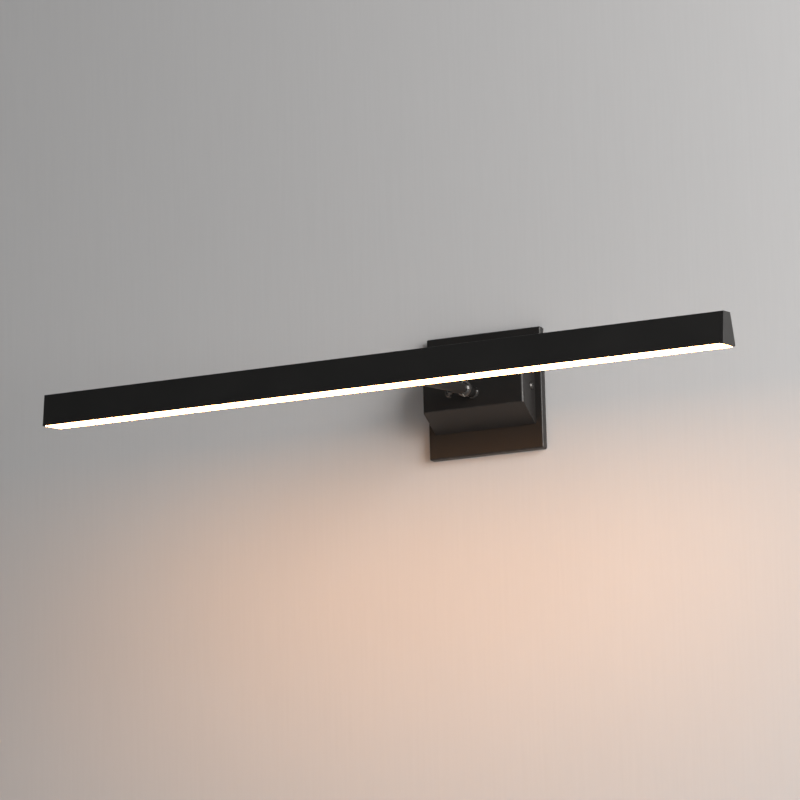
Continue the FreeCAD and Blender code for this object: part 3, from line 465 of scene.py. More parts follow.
def build_grain() -> None:
    """Drawn or turned metal: noise pulled out ten to one along X, with a cloudy tone."""
    graph, given, end = new_group(Effect.GRAIN)
    lines = graph.noise(given["Scale"], 4.0, graph.stretched((0.1, 1.0, 1.0)))
    clouds = graph.noise(graph.maths("MULTIPLY", given["Scale"], 0.08), 3.0)
    graph.tree.links.new(lines, end.inputs["Height"])
    graph.tree.links.new(clouds, end.inputs["Tone"])


def build_speckle() -> None:
    """Moulded plastic: small rounded cells from the tool's surface, with a faint tone."""
    graph, given, end = new_group(Effect.SPECKLE)
    cells = graph.add("TexVoronoi", {"Vector": graph.place(), "Scale": given["Scale"]})
    clouds = graph.noise(graph.maths("MULTIPLY", given["Scale"], 0.05), 3.0)
    graph.tree.links.new(cells.outputs["Distance"], end.inputs["Height"])
    graph.tree.links.new(clouds, end.inputs["Tone"])


BUILDERS = {
    Effect.PEEL: build_peel,
    Effect.WEAR: build_wear_and_highlight,
    Effect.DUST: build_dust,
    Effect.GRAIN: build_grain,
    Effect.SPECKLE: build_speckle,
}

Colour = tuple[float, float, float]


def solid(colour: Colour) -> tuple[float, float, float, float]:
    """A colour with full alpha."""
    return (*colour, 1.0)


def toned(colour: Colour, factor: float) -> tuple[float, float, float, float]:
    """A colour made darker or lighter by a factor, with full alpha."""
    return solid(tuple(min(factor * c, 1.0) for c in colour))


def effect(graph: Graph, kind: Effect, **values: object) -> dict[str, bpy.types.NodeSocket]:
    """Place a shared effect in a material.

    Args:
        graph: the material's graph.
        kind: the effect.
        values: a constant or a socket for each input.

    Returns:
        The effect's output sockets by name.
    """
    if kind.value not in bpy.data.node_groups:
        BUILDERS[kind]()
    made = graph.add("Group", values, node_tree=bpy.data.node_groups[kind.value])
    return {socket.name: socket for socket in made.outputs}


# ------------------------------------------------------------------ finishes
@dataclass(frozen=True)
class Finish(ABC):
    """What every finish has: a name, a colour and a roughness."""

    name: str
    colour: Colour
    roughness: float

    def shader(self, graph: Graph, inputs: dict) -> bpy.types.Node:
        """The material's own shader, fed by sockets and constants."""
        made = graph.add("BsdfPrincipled", inputs)
        out = graph.add("OutputMaterial")
        graph.tree.links.new(made.outputs[0], out.inputs["Surface"])
        return made

    def bump(self, graph: Graph, height: bpy.types.NodeSocket, distance: float) -> bpy.types.NodeSocket:
        """A normal from a height."""
        return graph.add("Bump", {"Height": height, "Distance": distance}).outputs[0]

    def uneven(self, graph: Graph, tone: bpy.types.NodeSocket, swing: float) -> bpy.types.NodeSocket:
        """The roughness, which swings about its middle as a tone goes from 0 to 1."""
        return graph.maths("MULTIPLY_ADD", tone, swing, self.roughness - 0.5 * swing)

    @abstractmethod
    def dress(self, graph: Graph) -> None:
        """Fill the material's graph."""

    def material(self) -> bpy.types.Material:
        """The material, built the first time that it is asked for."""
        if self.name in bpy.data.materials:
            return bpy.data.materials[self.name]
        made = bpy.data.materials.new(self.name)
        made.use_nodes = True
        made.node_tree.nodes.clear()
        self.dress(Graph(made.node_tree))
        return made


@dataclass(frozen=True)
class PowderCoat(Finish):
    """Satin powder coat with orange peel, edges lightened as both abrasion and painted highlight, and a
    little dust on top.
    """

    peel: float = 620.0
    depth: float = 0.000016
    speckle: float = 0.35
    shades: tuple[float, float] = (0.82, 1.18)
    swing: float = 0.1
    # lighter edge colour: abrasion plus a painted highlight
    rubbed_and_highlit: Colour = (0.055, 0.05, 0.046)
    rub_and_highlight_scale: float = 260.0
    rub_and_highlight: float = 0.55
    rub_shine: float = -0.1
    dust: float = 0.25
    dust_scale: float = 45.0
    dust_colour: Colour = (0.32, 0.3, 0.28)
    dust_cover: float = 0.16
    dust_dullness: float = 0.25

    def dress(self, graph: Graph) -> None:
        """Tone varies in clouds, edges are painted lighter as abrasion and painted highlight and made
        shinier, and tops hold dust.
        """
        peel = effect(graph, Effect.PEEL, Scale=self.peel, Speckle=self.speckle)
        edge = graph.add("Attribute", attribute_name="edge").outputs["Fac"]
        wear_and_highlight = effect(graph, Effect.WEAR, Edge=edge, Scale=self.rub_and_highlight_scale, Amount=self.rub_and_highlight)["Mask"]
        dust = effect(graph, Effect.DUST, Scale=self.dust_scale, Amount=self.dust)["Mask"]
        darker, lighter = (toned(self.colour, shade) for shade in self.shades)
        paint = graph.mix(peel["Tone"], darker, lighter)
        # edges painted lighter: abrasion plus a painted highlight
        rubbed_and_highlit = graph.mix(wear_and_highlight, paint, solid(self.rubbed_and_highlit))
        cover = graph.maths("MULTIPLY", dust, self.dust_cover)
        dusty = graph.mix(cover, rubbed_and_highlit, solid(self.dust_colour))
        rough = self.uneven(graph, peel["Tone"], self.swing)
        rough = graph.maths("MULTIPLY_ADD", wear_and_highlight, self.rub_shine, rough)
        rough = graph.maths("MULTIPLY_ADD", dust, self.dust_dullness, rough)
        normal = self.bump(graph, peel["Height"], self.depth)
        inputs = {"Base Color": dusty, "Roughness": rough, "Normal": normal, "IOR": 1.5}
        self.shader(graph, inputs)


@dataclass(frozen=True)
class Plating(Finish):
    """Plated or dyed metal: fine drawn grain, cloudy roughness, and edges painted light as abrasion and
    painted highlight.
    """

    metallic: float = 1.0
    grain: float = 1800.0
    depth: float = 0.000004
    coat: float = 0.0
    coat_roughness: float = 0.06
    shades: tuple[float, float] = (0.85, 1.15)
    swing: float = 0.14
    # edge colour: abrasion plus a painted highlight
    worn_and_highlit_colour: Colour = (0.5, 0.49, 0.47)
    rub_and_highlight_scale: float = 500.0
    rub_and_highlight: float = 0.3

    def dress(self, graph: Graph) -> None:
        """The grain makes the bump, the clouds change the roughness and the tone."""
        grain = effect(graph, Effect.GRAIN, Scale=self.grain)
        edge = graph.add("Attribute", attribute_name="edge").outputs["Fac"]
        wear_and_highlight = effect(graph, Effect.WEAR, Edge=edge, Scale=self.rub_and_highlight_scale, Amount=self.rub_and_highlight)["Mask"]
        darker, lighter = (toned(self.colour, shade) for shade in self.shades)
        tone = graph.mix(grain["Tone"], darker, lighter)
        inputs = {
            # edges painted light: abrasion plus a painted highlight
            "Base Color": graph.mix(wear_and_highlight, tone, solid(self.worn_and_highlit_colour)),
            "Roughness": self.uneven(graph, grain["Tone"], self.swing),
            "Metallic": self.metallic,
            "Normal": self.bump(graph, grain["Height"], self.depth),
            "Coat Weight": self.coat,
            "Coat Roughness": self.coat_roughness,
        }
        self.shader(graph, inputs)


@dataclass(frozen=True)
class Moulding(Finish):
    """Moulded plastic or drawn insulation: a fine tool texture and faint flow marks."""

    texture: float = 2600.0
    depth: float = 0.00001
    shade: float = 0.9
    swing: float = 0.12

    def dress(self, graph: Graph) -> None:
        """Cells make the bump, and clouds change the colour and the roughness a little."""
        cells = effect(graph, Effect.SPECKLE, Scale=self.texture)
        inputs = {
            "Base Color": graph.mix(cells["Tone"], toned(self.colour, self.shade), solid(self.colour)),
            "Roughness": self.uneven(graph, cells["Tone"], self.swing),
            "Normal": self.bump(graph, cells["Height"], self.depth),
        }
        self.shader(graph, inputs)


@dataclass(frozen=True)
class CircuitBoard(Finish):
    """Printed board: solder mask over tracks that run in straight bands, with tinned pads."""

    track: Colour = (0.02, 0.12, 0.06)
    pad: Colour = (0.62, 0.62, 0.6)
    pitch: float = 420.0
    track_width: float = 0.03
    track_height: float = 0.00003
    shade: float = 0.8
    pad_scale: float = 0.8
    pad_edge: tuple[float, float] = (0.1, 0.16)

    def dress(self, graph: Graph) -> None:
        """Bricks make the tracks and their relief, and small cells make the pads."""
        bricks = graph.add("TexBrick", {
            "Vector": graph.place(),
            "Scale": self.pitch,
            "Color1": solid(self.colour),
            "Color2": toned(self.colour, self.shade),
            "Mortar": solid(self.track),
            "Mortar Size": self.track_width,
        })
        cells = graph.add("TexVoronoi", {"Vector": graph.place(), "Scale": self.pitch * self.pad_scale})
        pads = graph.maths("SUBTRACT", 1.0, graph.between(cells.outputs["Distance"], *self.pad_edge))
        inputs = {
            "Base Color": graph.mix(pads, bricks.outputs["Color"], solid(self.pad)),
            "Metallic": pads,
            "Roughness": self.roughness,
            "Normal": self.bump(graph, bricks.outputs["Fac"], self.track_height),
        }
        self.shader(graph, inputs)


@dataclass(frozen=True)
class OpalAcrylic(Finish):
    """Opal acrylic lit from inside, a little brighter over each chip."""

    glow: Colour = (1.0, 0.46, 0.16)
    strength: float = 26.0
    pitch: float = 0.009
    shade: float = 0.96
    haze: float = 900.0
    haze_depth: float = 0.000008

    def dress(self, graph: Graph) -> None:
        """The glow swells by a few parts in a hundred over each chip: cos(2 pi x / pitch)."""
        across = graph.add("SeparateXYZ", {0: graph.place()}).outputs["X"]
        wave = graph.maths("COSINE", graph.maths("MULTIPLY", across, 2 * math.pi / self.pitch))
        swell = graph.maths("MULTIPLY_ADD", wave, 0.5, 0.5)
        haze = effect(graph, Effect.SPECKLE, Scale=self.haze)
        inputs = {
            "Base Color": graph.mix(haze["Tone"], toned(self.colour, self.shade), solid(self.colour)),
            "Roughness": self.roughness,
            "Emission Color": graph.mix(swell, toned(self.glow, self.shade), solid(self.glow)),
            "Emission Strength": self.strength,
            "Normal": self.bump(graph, haze["Height"], self.haze_depth),
        }
        self.shader(graph, inputs)


@dataclass(frozen=True)
class Phosphor(Finish):
    """Yellow phosphor in a clear window, with tiny crystals and a weak glow of its own."""

    glow: Colour = (1.0, 0.7, 0.3)
    strength: float = 0.4
    shade: float = 0.75
    crystals: float = 5200.0
    depth: float = 0.00001

    def dress(self, graph: Graph) -> None:
        """Crystals make the colour and the relief."""
        cells = effect(graph, Effect.SPECKLE, Scale=self.crystals)
        inputs = {
            "Base Color": graph.mix(cells["Height"], solid(self.colour), toned(self.colour, self.shade)),
            "Roughness": self.roughness,
            "Emission Color": graph.mix(cells["Tone"], solid(self.glow), solid(self.colour)),
            "Emission Strength": self.strength,
            "Normal": self.bump(graph, cells["Height"], self.depth),
        }
        self.shader(graph, inputs)

    def material(self) -> bpy.types.Material:
        """The material, which is never sampled as a lamp because the lens hides it."""
        made = super().material()
        made.cycles.emission_sampling = "NONE"
        return made


FINISHES: dict[Slot, Finish] = {
    Slot.BLACK_COAT: PowderCoat("bronze_black_powder_coat", (0.0125, 0.0112, 0.0104), 0.44),
    Slot.BAR_COAT: PowderCoat("bar_powder_coat", (0.0115, 0.0108, 0.0102), 0.46, peel=560.0),
    Slot.GLOSS_BLACK: Plating("gloss_black_plating", (0.035, 0.032, 0.03), 0.16, metallic=0.7, coat=0.7),
    Slot.BLACK_SCREW: Plating("black_oxide", (0.06, 0.057, 0.054), 0.3, metallic=0.9, coat=0.3),
    Slot.ZINC: Plating("zinc_plate", (0.6, 0.62, 0.64), 0.34, grain=900.0, worn_and_highlit_colour=(0.8, 0.8, 0.8)),
    Slot.GREEN_SCREW: Plating("green_dyed_zinc", (0.05, 0.33, 0.12), 0.35, coat=0.3),
    Slot.LENS: OpalAcrylic("opal_acrylic", (0.9, 0.88, 0.84), 0.32),
    Slot.DRIVER: Moulding("driver_case_moulding", (0.8, 0.8, 0.77), 0.5),
    Slot.CIRCUIT: CircuitBoard("green_circuit_board", (0.03, 0.2, 0.09), 0.35),
    Slot.CONNECTOR: Moulding("orange_connector_moulding", (0.82, 0.3, 0.03), 0.42, texture=1800.0),
    Slot.WIRE: Moulding("red_insulation", (0.55, 0.04, 0.03), 0.38, texture=4000.0, depth=0.000004),
    Slot.MAINS: Moulding("black_insulation", (0.02, 0.02, 0.021), 0.4, texture=4000.0, depth=0.000004),
    Slot.NYLON: Moulding("natural_nylon", (0.74, 0.72, 0.64), 0.45),
    Slot.ALLOY: Plating("machined_alloy", (0.72, 0.73, 0.74), 0.3, grain=2400.0, worn_and_highlit_colour=(0.85, 0.85, 0.85)),
    Slot.BOARD: CircuitBoard("white_led_board", (0.82, 0.83, 0.82), 0.4, track=(0.66, 0.67, 0.66)),
    Slot.PHOSPHOR: Phosphor("led_phosphor_window", (0.86, 0.62, 0.12), 0.3),
}


def finish_piece(piece: bpy.types.Object, slot: Slot, body: Body, *nodes: str) -> bpy.types.Object:
    """Give a new piece its finish and its body, and hide the CAD nodes that it stands for.

    Args:
        piece: the new object.
        slot: the material slot that it takes its finish from.
        body: the body that it rides on.
        nodes: the CAD nodes that it replaces.

    Returns:
        The piece.
    """
    piece.data.materials.clear()
    piece.data.materials.append(FINISHES[slot].material())
    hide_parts(*nodes)
    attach(piece, body.value)
    LOG.info("%s rides on %s, %d faces", piece.name, body.value, len(piece.data.polygons))
    return piece


# ------------------------------------------------------------------ wall plate and cover box
@dataclass
class WallPlate:
    """Drawn square pan that hides the wall box, open at the back."""

    skin: float = 1.5 * MM
    shoulder: float = 1.6 * MM
    corner: float = 1.5 * MM
    rim: float = 0.3 * MM
    inner_bend: float = 1.2 * MM
    hole: float = 8.0 * MM
    least_corner: float = 0.35 * MM
    side_pieces: int = 14

    def ring(self, half: float, inset: float, depth: float) -> tuple[np.ndarray, np.ndarray]:
        """A rounded square, moved in from the plate's outline by inset, at a depth."""
        size = half - inset
        corners = [(size, -size), (size, size), (-size, size), (-size, -size)]
        radius = max(self.corner - inset, self.least_corner)
        line = closed_outline(corners, [radius] * 4, [self.side_pieces] * 4)
        points = np.stack([line.points[:, 0], np.full(len(line.edge), depth), line.points[:, 1]], axis=1)
        return points, line.edge

    def build(self) -> bpy.types.Object:
        """The section from the hole's edge over the shoulder, round the rim and back inside, carried round.

        Returns:
            The plate.
        """
        low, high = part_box("back_plate")
        half, front, back = high.x, low.y, high.y
        over = self.shoulder
        section = open_outline(
            [(half - self.hole, front), (0.0, front), (0.0, back), (self.skin, back),
             (self.skin, front + self.skin), (half - self.hole, front + self.skin)],
            [over, self.rim, self.rim, self.inner_bend], 2)
        rows, marks = [], []
        for (inset, depth), edge in zip(section.points, section.edge):
            points, around = self.ring(half, min(inset, half - self.hole * 2), depth)
            if inset > half * 0.5:
                outwards = unit(points[:, [0, 2]])
                points[:, [0, 2]] = outwards * (half - inset)
            rows.append(points)
            marks.append(np.maximum(around * (inset < over), edge))
        shell = Shell()
        shell.add(np.stack(rows), np.stack(marks), round_rows=True)
        return finish_piece(shell.piece("wall_plate"), Slot.BLACK_COAT, Body.WALL, "back_plate")


@dataclass
class CoverBox:
    """Folded cover: an upright front, a sloping top and bottom, and flat sides."""

    front_height: float = 36.6 * MM
    base_height: float = 68.8 * MM
    skin: float = 1.2 * MM
    upright_bend: float = 2.6 * MM
    level_bend: float = 0.8 * MM
    slope_bend: float = 0.8 * MM
    stem_hole: float = 4.95 * MM
    ball_drop: float = 4.6 * MM
    least_bend: float = 0.3 * MM
    least_slope_bend: float = 0.2 * MM
    turn_in: float = 0.03
    side_pieces: tuple[int, ...] = (8, 18, 8, 18)
    side_rows: int = 5
    roll_rows: int = 9
    face_rows: tuple[float, ...] = (0.004, 0.3, 0.7, 1.0)

    def half_height(self, ahead: np.ndarray, depth: float) -> np.ndarray:
        """Half the height at a distance ahead of the plate: it falls evenly to the front."""
        share = np.clip(ahead / depth, 0, 1)
        return 0.5 * (self.base_height + (self.front_height - self.base_height) * share)

    def skin_rows(self, inset: float) -> tuple[np.ndarray, np.ndarray]:
        """One side of the sheet, from the rim at the plate over the front folds to the stem hole.

        The fold is an ellipse-like roll whose radius goes from the level bend to the upright
        bend with the square of how far the outline faces sideways.

        Args:
            inset: how far the surface lies inside the outer one.

        Returns:
            The grid of points and the edge values.
        """
        low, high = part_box("cover_box")
        wide, base, front = high.x - inset, high.y, low.y + inset
        depth = high.y - low.y
        lean = math.hypot(depth, 0.5 * (self.base_height - self.front_height)) / depth
        tall = 0.5 * self.front_height
        outline = closed_outline(
            [(wide, -tall), (wide, tall), (-wide, tall), (-wide, -tall)],
            [max(self.slope_bend - inset, self.least_slope_bend)] * 4, list(self.side_pieces))
        across, up = outline.points[:, 0] / wide, outline.points[:, 1] / tall
        count = len(across)
        sideways = np.clip((np.abs(across) - 1 + self.turn_in) / self.turn_in, 0, 1) ** 2
        corner = np.where(np.abs(across) > FLUSH, 0.5, 0.0)
        sideways = np.where(np.abs(up) > FLUSH, corner, sideways)
        upright = max(self.upright_bend - inset, self.least_bend)
        level = max(self.level_bend - inset, self.least_bend)
        roll = np.linspace(0, 0.5 * math.pi, self.roll_rows)[:, None]
        bend = level + (upright - level) * sideways[None, :]
        back = bend * (1 - np.sin(roll))
        inwards_x = upright * (1 - np.cos(roll)) * np.ones_like(bend)
        inwards_z = level * (1 - np.cos(roll)) * np.ones_like(bend)
        side_y = np.linspace(base, front + upright + SUPPORT, self.side_rows)[:, None] * np.ones((1, count))
        level_y = np.linspace(base, front + level + SUPPORT, self.side_rows)[:, None] * np.ones((1, count))
        straight = side_y * sideways + level_y * (1 - sideways)
        depths = np.vstack([straight, front + back])
        x_in = np.vstack([np.zeros_like(straight), inwards_x])
        z_in = np.vstack([np.zeros_like(straight), inwards_z])
        height = self.half_height(base - depths, depth) - inset * lean - z_in
        grid = np.stack([across * (wide - x_in), depths, up * height], axis=-1)
        along_fold = np.repeat(np.sin(2 * roll), count, axis=1)
        edges = np.vstack([np.tile(outline.edge, (self.side_rows, 1)), along_fold])
        face = grid[-1]
        outwards = unit(np.stack([face[:, 0], face[:, 2] + self.ball_drop], axis=1))
        hole = np.stack([outwards[:, 0] * self.stem_hole, face[:, 1],
                         outwards[:, 1] * self.stem_hole - self.ball_drop], axis=1)
        share = np.array(self.face_rows)[:, None, None]
        flat = face[None] * (1 - share) + hole[None] * share
        return np.concatenate([grid, flat]), np.vstack([edges, np.zeros((len(share), count))])

    def build(self) -> bpy.types.Object:
        """The outer surface and the inner one, joined round the rim and round the stem hole."""
        outer, outer_edge = self.skin_rows(0.0)
        inner, inner_edge = self.skin_rows(self.skin)
        shell = Shell()
        edge = np.vstack([outer_edge, np.zeros_like(inner_edge)])
        shell.add(np.concatenate([outer, inner[::-1]]), edge, round_rows=True)
        return finish_piece(shell.piece("cover_box_shell"), Slot.BLACK_COAT, Body.WALL, "cover_box")


# ------------------------------------------------------------------ ball swivel
@dataclass
class Swivel:
    """Split ball: one half is fixed to the box by a stem, the other plugs into the arm."""

    place: Place
    ball: float = 7.7 * MM
    ball_steps: int = 40
    split: float = 0.3 * MM
    split_chamfer: tuple[float, float] = (0.12 * MM, 0.2 * MM)
    cavity: float = 5.0 * MM
    cavity_half: float = 3.6 * MM
    flat: float = 7.0 * MM
    pivot: float = 1.81 * MM
    hole_depth: float = 3.0 * MM
    neck: float = 5.2 * MM
    neck_start: float = 8.2 * MM
    sink: float = 0.3 * MM
    relief: float = 8.0 * MM
    bore: float = 2.9 * MM
    reach: float = 17.4 * MM
    flange: float = 6.4 * MM
    flange_depth: float = 1.6 * MM
    stem: float = 4.85 * MM
    stem_length: float = 12.0 * MM
    thread_pitch: float = 1.0 * MM
    thread_depth: float = 0.25 * MM
    front_neck: float = 5.0 * MM
    shoulder: float = 9.0 * MM
    spigot: float = 3.5 * MM
    spigot_end: float = 18.5 * MM
    spigot_bore: float = 2.6 * MM
    face_rows: int = 6
    steps_per_thread: int = 8

    def half_ball(self, shell: Shell, place: Place, side: int) -> None:
        """Half of the ball: an arc of the ball's radius turned about X, with its hollow.

        Args:
            shell: where the surface goes.
            place: the frame that it is in.
            side: 1 for the rear half and -1 for the front one, which has a flat for the knob.
        """
        chamfer_along, chamfer_in = self.split_chamfer
        start = math.acos((self.split + chamfer_along) / self.ball)
        end = 0.0 if side > 0 else math.acos(self.flat / self.ball)
        angle = np.linspace(start, end, self.ball_steps)
        arc = np.stack([np.cos(angle), np.sin(angle)], axis=1) * self.ball
        lip = np.array([[self.split, self.cavity], [self.split, self.ball - chamfer_in]])
        if side > 0:
            deep = self.cavity_half + self.hole_depth
            inside = np.array([[deep, 0.0], [deep, self.pivot], [self.cavity_half, self.pivot],
                               [self.cavity_half, self.cavity]])
            points = np.vstack([inside, lip, arc])
        else:
            inside = np.array([[self.cavity_half, self.pivot], [self.cavity_half, self.cavity]])
            mouth = np.array([[self.flat, self.pivot]])
            points = np.vstack([inside, lip, arc, mouth])
        edge = np.zeros(len(points))
        edge[len(inside) + 1:len(inside) + 3] = 1.0
        points = points * np.array([side, 1.0])
        grid, marks = turned(Line(points, edge), Axis.X)
        shell.add(place.row(grid), marks, round_rows=side < 0)

    def neck_tube(self, shell: Shell, place: Place, side: int, profile: Line) -> None:
        """A neck turned about Y whose inner end follows the ball, or the clearance round the other half.

        Args:
            shell: where the surface goes.
            place: the frame that it is in.
            side: which half of the ball it joins, 1 or -1.
            profile: the neck's profile from its outer wall back to its bore.
        """
        grid, marks = turned(profile, Axis.Y)
        direction = 1.0 if profile.points[:, 0].mean() > 0 else -1.0
        radius = np.linspace(profile.points[-1, 1], profile.points[0, 1], self.face_rows)[:, None]
        own = side * grid[0, :, 0] > self.split
        round_ball = np.where(own, self.ball - self.sink, self.relief)
        across = unit(grid[0][:, [0, 2]])
        along = np.sqrt(round_ball[None, :] ** 2 - radius ** 2) * direction
        face = np.stack([radius * across[:, 0], along, radius * across[:, 1]], axis=-1)
        marks = np.vstack([np.zeros((self.face_rows, ROUND_STEPS)), marks])
        shell.add(place.row(np.concatenate([face, grid])), marks, round_rows=True)

    def thread(self, start: float, end: float) -> Line:
        """The stem's thread as rings: radius = stem - depth * |sin(pi * along / pitch)|."""
        along = np.linspace(start, end, int((end - start) / self.thread_pitch * self.steps_per_thread))
        groove = np.abs(np.sin(math.pi * (along - start) / self.thread_pitch))
        return Line(np.stack([along, self.stem - self.thread_depth * groove], axis=1), np.zeros(len(along)))

    def rear(self) -> bpy.types.Object:
        """The rear half with its neck, flange and threaded stem."""
        shell = Shell()
        self.half_ball(shell, self.place_level(), 1)
        start, end = self.reach - self.flange_depth, self.reach
        outer = open_outline(
            [(self.neck_start, self.neck), (start, self.neck), (start, self.flange), (end, self.flange),
             (end, self.stem)],
            [0.5 * MM, 0.3 * MM, 0.3 * MM])
        tail = end + self.stem_length
        back = Line(np.array([[tail, self.bore], [self.neck_start, self.bore]]), np.zeros(2))
        profile = gather([outer, self.thread(end + 0.2 * MM, tail), back])
        self.neck_tube(shell, self.place_level(), 1, profile)
        return finish_piece(shell.piece("swivel_rear_half"), Slot.GLOSS_BLACK, Body.WALL, "swivel_rear")

    def place_level(self) -> Place:
        """The ball's frame without the arm's droop."""
        return Place(self.place.origin)

    def front(self) -> bpy.types.Object:
        """The front half with its neck and the spigot inside the arm."""
        shell = Shell()
        self.half_ball(shell, self.place, -1)
        corners = [
            (-self.neck_start, self.front_neck), (-self.shoulder, self.front_neck),
            (-self.shoulder, self.spigot), (-self.spigot_end, self.spigot),
            (-self.spigot_end, self.spigot_bore), (-self.neck_start, self.spigot_bore),
        ]
        radii = [0.12 * MM, 0.2 * MM, 0.2 * MM, 0.1 * MM]
        self.neck_tube(shell, self.place, -1, open_outline(corners, radii))
        return finish_piece(shell.piece("swivel_front_half"), Slot.GLOSS_BLACK, Body.ARM, "swivel_front")

    def build(self) -> None:
        """Both halves."""
        self.rear()
        self.front()


@dataclass
class LockKnob:
    """Flared knob with fluted rim on the pivot screw."""

    place: Place
    start: float = -7.8 * MM
    length: float = 9.6 * MM
    neck: float = 1.9 * MM
    rim: float = 6.6 * MM
    shank: float = 1.75 * MM
    shank_end: float = 6.2 * MM
    steps: int = 192
    flutes: int = 20
    flute_depth: float = 0.4 * MM
    flute_length: float = 3.4 * MM
    flute_fade: float = 0.25 * MM
    flute_foot: float = 0.72

    def build(self) -> bpy.types.Object:
        """The profile turned about X, its rim drawn in by a rounded flute at even angles.

        radius = profile * (1 - depth * mask(x) * out * max(0, cos(flutes * t)) ** 2), where the
        mask fades a flute out along the knob and out fades it towards the axis.

        Returns:
            The knob.
        """
        end = self.start - self.length
        corners = [
            (self.shank_end, 0.0), (self.shank_end, self.shank), (self.start, self.shank),
            (self.start, self.neck + 0.7 * MM), (self.start - 1.4 * MM, self.neck),
            (self.start - 3.2 * MM, self.neck + 0.1 * MM), (end + 3.0 * MM, self.rim),
            (end, self.rim), (end, 1.6 * MM), (end + 0.5 * MM, 0.0),
        ]
        radii = [r * MM for r in (0.3, 0.1, 0.2, 0.8, 1.6, 0.6, 0.7, 0.3)]
        profile = open_outline(corners, radii, 6)
        grid, marks = turned(profile, Axis.X, self.steps)
        angle = np.linspace(0, 2 * math.pi, self.steps, endpoint=False)[None, :]
        along = profile.points[:, 0][:, None]
        mask = 1 / (1 + np.exp((along - (end + self.flute_length)) / self.flute_fade))
        share = profile.points[:, 1][:, None] / self.rim
        out = np.clip((share - self.flute_foot) / (1 - self.flute_foot), 0, 1)
        cut = self.flute_depth / self.rim * mask * out * np.maximum(0, np.cos(self.flutes * angle)) ** 2
        grid[..., 1:] *= (1 - cut)[..., None]
        shell = Shell()
        shell.add(self.place.row(grid), marks)
        return finish_piece(shell.piece("lock_knob_turned"), Slot.GLOSS_BLACK, Body.KNOB, "lock_knob")


# ------------------------------------------------------------------ arm and bar
@dataclass
class BarShape:
    """The bar's tapered section, which the arm, the caps and the lens share."""

    place: Place
    reach: float = 191.8 * MM
    length: float = 655.0 * MM
    height: float = 29.0 * MM
    top: float = 16.4 * MM
    bottom: float = 30.6 * MM
    wall: float = 1.8 * MM
    top_bend: float = 0.7 * MM
    bottom_bend: float = 0.3 * MM
    cap: float = 2.7 * MM

    def half_width(self, up: float, inset: float = 0.0) -> float:
        """Half the width at a height above the middle, moved in by inset."""
        slant = 0.5 * (self.bottom - self.top) / self.height
        return 0.25 * (self.bottom + self.top) - up * slant - inset * math.hypot(1, slant)

    def sweep(self, shell: Shell, section: Line, stations: np.ndarray, edge: np.ndarray) -> None:
        """Carry a section of (across, up) along X and close both ends.

        Args:
            shell: where the surface goes.
            section: the closed section.
            stations: places along X.
            edge: the edge value of each place.
        """
        count = len(section.edge)
        grid = np.empty((len(stations), count, 3))
        grid[..., 0] = stations[:, None]
        grid[..., 1] = section.points[:, 0] - self.reach
        grid[..., 2] = section.points[:, 1]
        shell.add_closed(self.place.row(grid), np.maximum(section.edge[None, :], edge[:, None]))


@dataclass
class Arm:
    """Straight tube from the ball to the bar, and the collar that seats it on the sloping back."""

    shape: BarShape
    radius: float = 5.0 * MM
    bore: float = 3.6 * MM
    start: float = 9.0 * MM
    stop_short: float = 4.9 * MM
    tube_bend: float = 0.15 * MM
    tube_pieces: int = 24
    collar: float = 8.5 * MM
    collar_length: float = 5.0 * MM
    collar_nose: float = 0.8 * MM
    collar_bends: tuple[float, float] = (0.5 * MM, 0.1 * MM)
    collar_sink: float = 0.2 * MM

    def tube(self) -> bpy.types.Object:
        """The wall's section turned about Y."""
        end = self.shape.reach - self.stop_short
        corners = [
            (-self.start, self.radius), (-end, self.radius), (-end, self.bore), (-self.start, self.bore),
        ]
        section = closed_outline(corners, [self.tube_bend] * 4, [self.tube_pieces, 1, 1, 1])
        shell = Shell()
        grid, marks = turned(section, Axis.Y)
        shell.add(self.shape.place.row(grid), marks, round_rows=True)
        return finish_piece(shell.piece("arm_tube_coated"), Slot.BLACK_COAT, Body.ARM, "arm_tube")

    def wedge(self) -> bpy.types.Object:
        """The collar: a turned ring whose foot is moved on to the bar's sloping back.

        Each point takes its own place along the arm or the slope's, whichever is nearer the
        wall. The slope is sunk a little, so that the collar's foot lies just inside the bar.
        """
        shape = self.shape
        front = shape.half_width(0.0) + self.collar_length
        angle = np.linspace(0, 2 * math.pi, ROUND_STEPS, endpoint=False)
        outer = open_outline(
            [(front, self.radius), (front - self.collar_nose, self.collar), (0.0, self.collar),
             (0.0, self.radius)],
            list(self.collar_bends))
        away, radius = outer.points[:, 0][:, None], outer.points[:, 1][:, None]
        up = radius * np.cos(angle)
        slant = 0.5 * (shape.bottom - shape.top) / shape.height
        slope = shape.half_width(0.0) - up * slant - self.collar_sink
        grid = np.stack([radius * np.sin(angle), np.maximum(away, slope) - shape.reach, up], axis=-1)
        marks = np.repeat(outer.edge[:, None], ROUND_STEPS, axis=1)
        shell = Shell()
        shell.add(shape.place.row(grid), marks, round_rows=True)
        return finish_piece(shell.piece("arm_collar_turned"), Slot.BLACK_COAT, Body.ARM, "arm_collar")

    def build(self) -> None:
        """The tube and the collar."""
        self.tube()
        self.wedge()


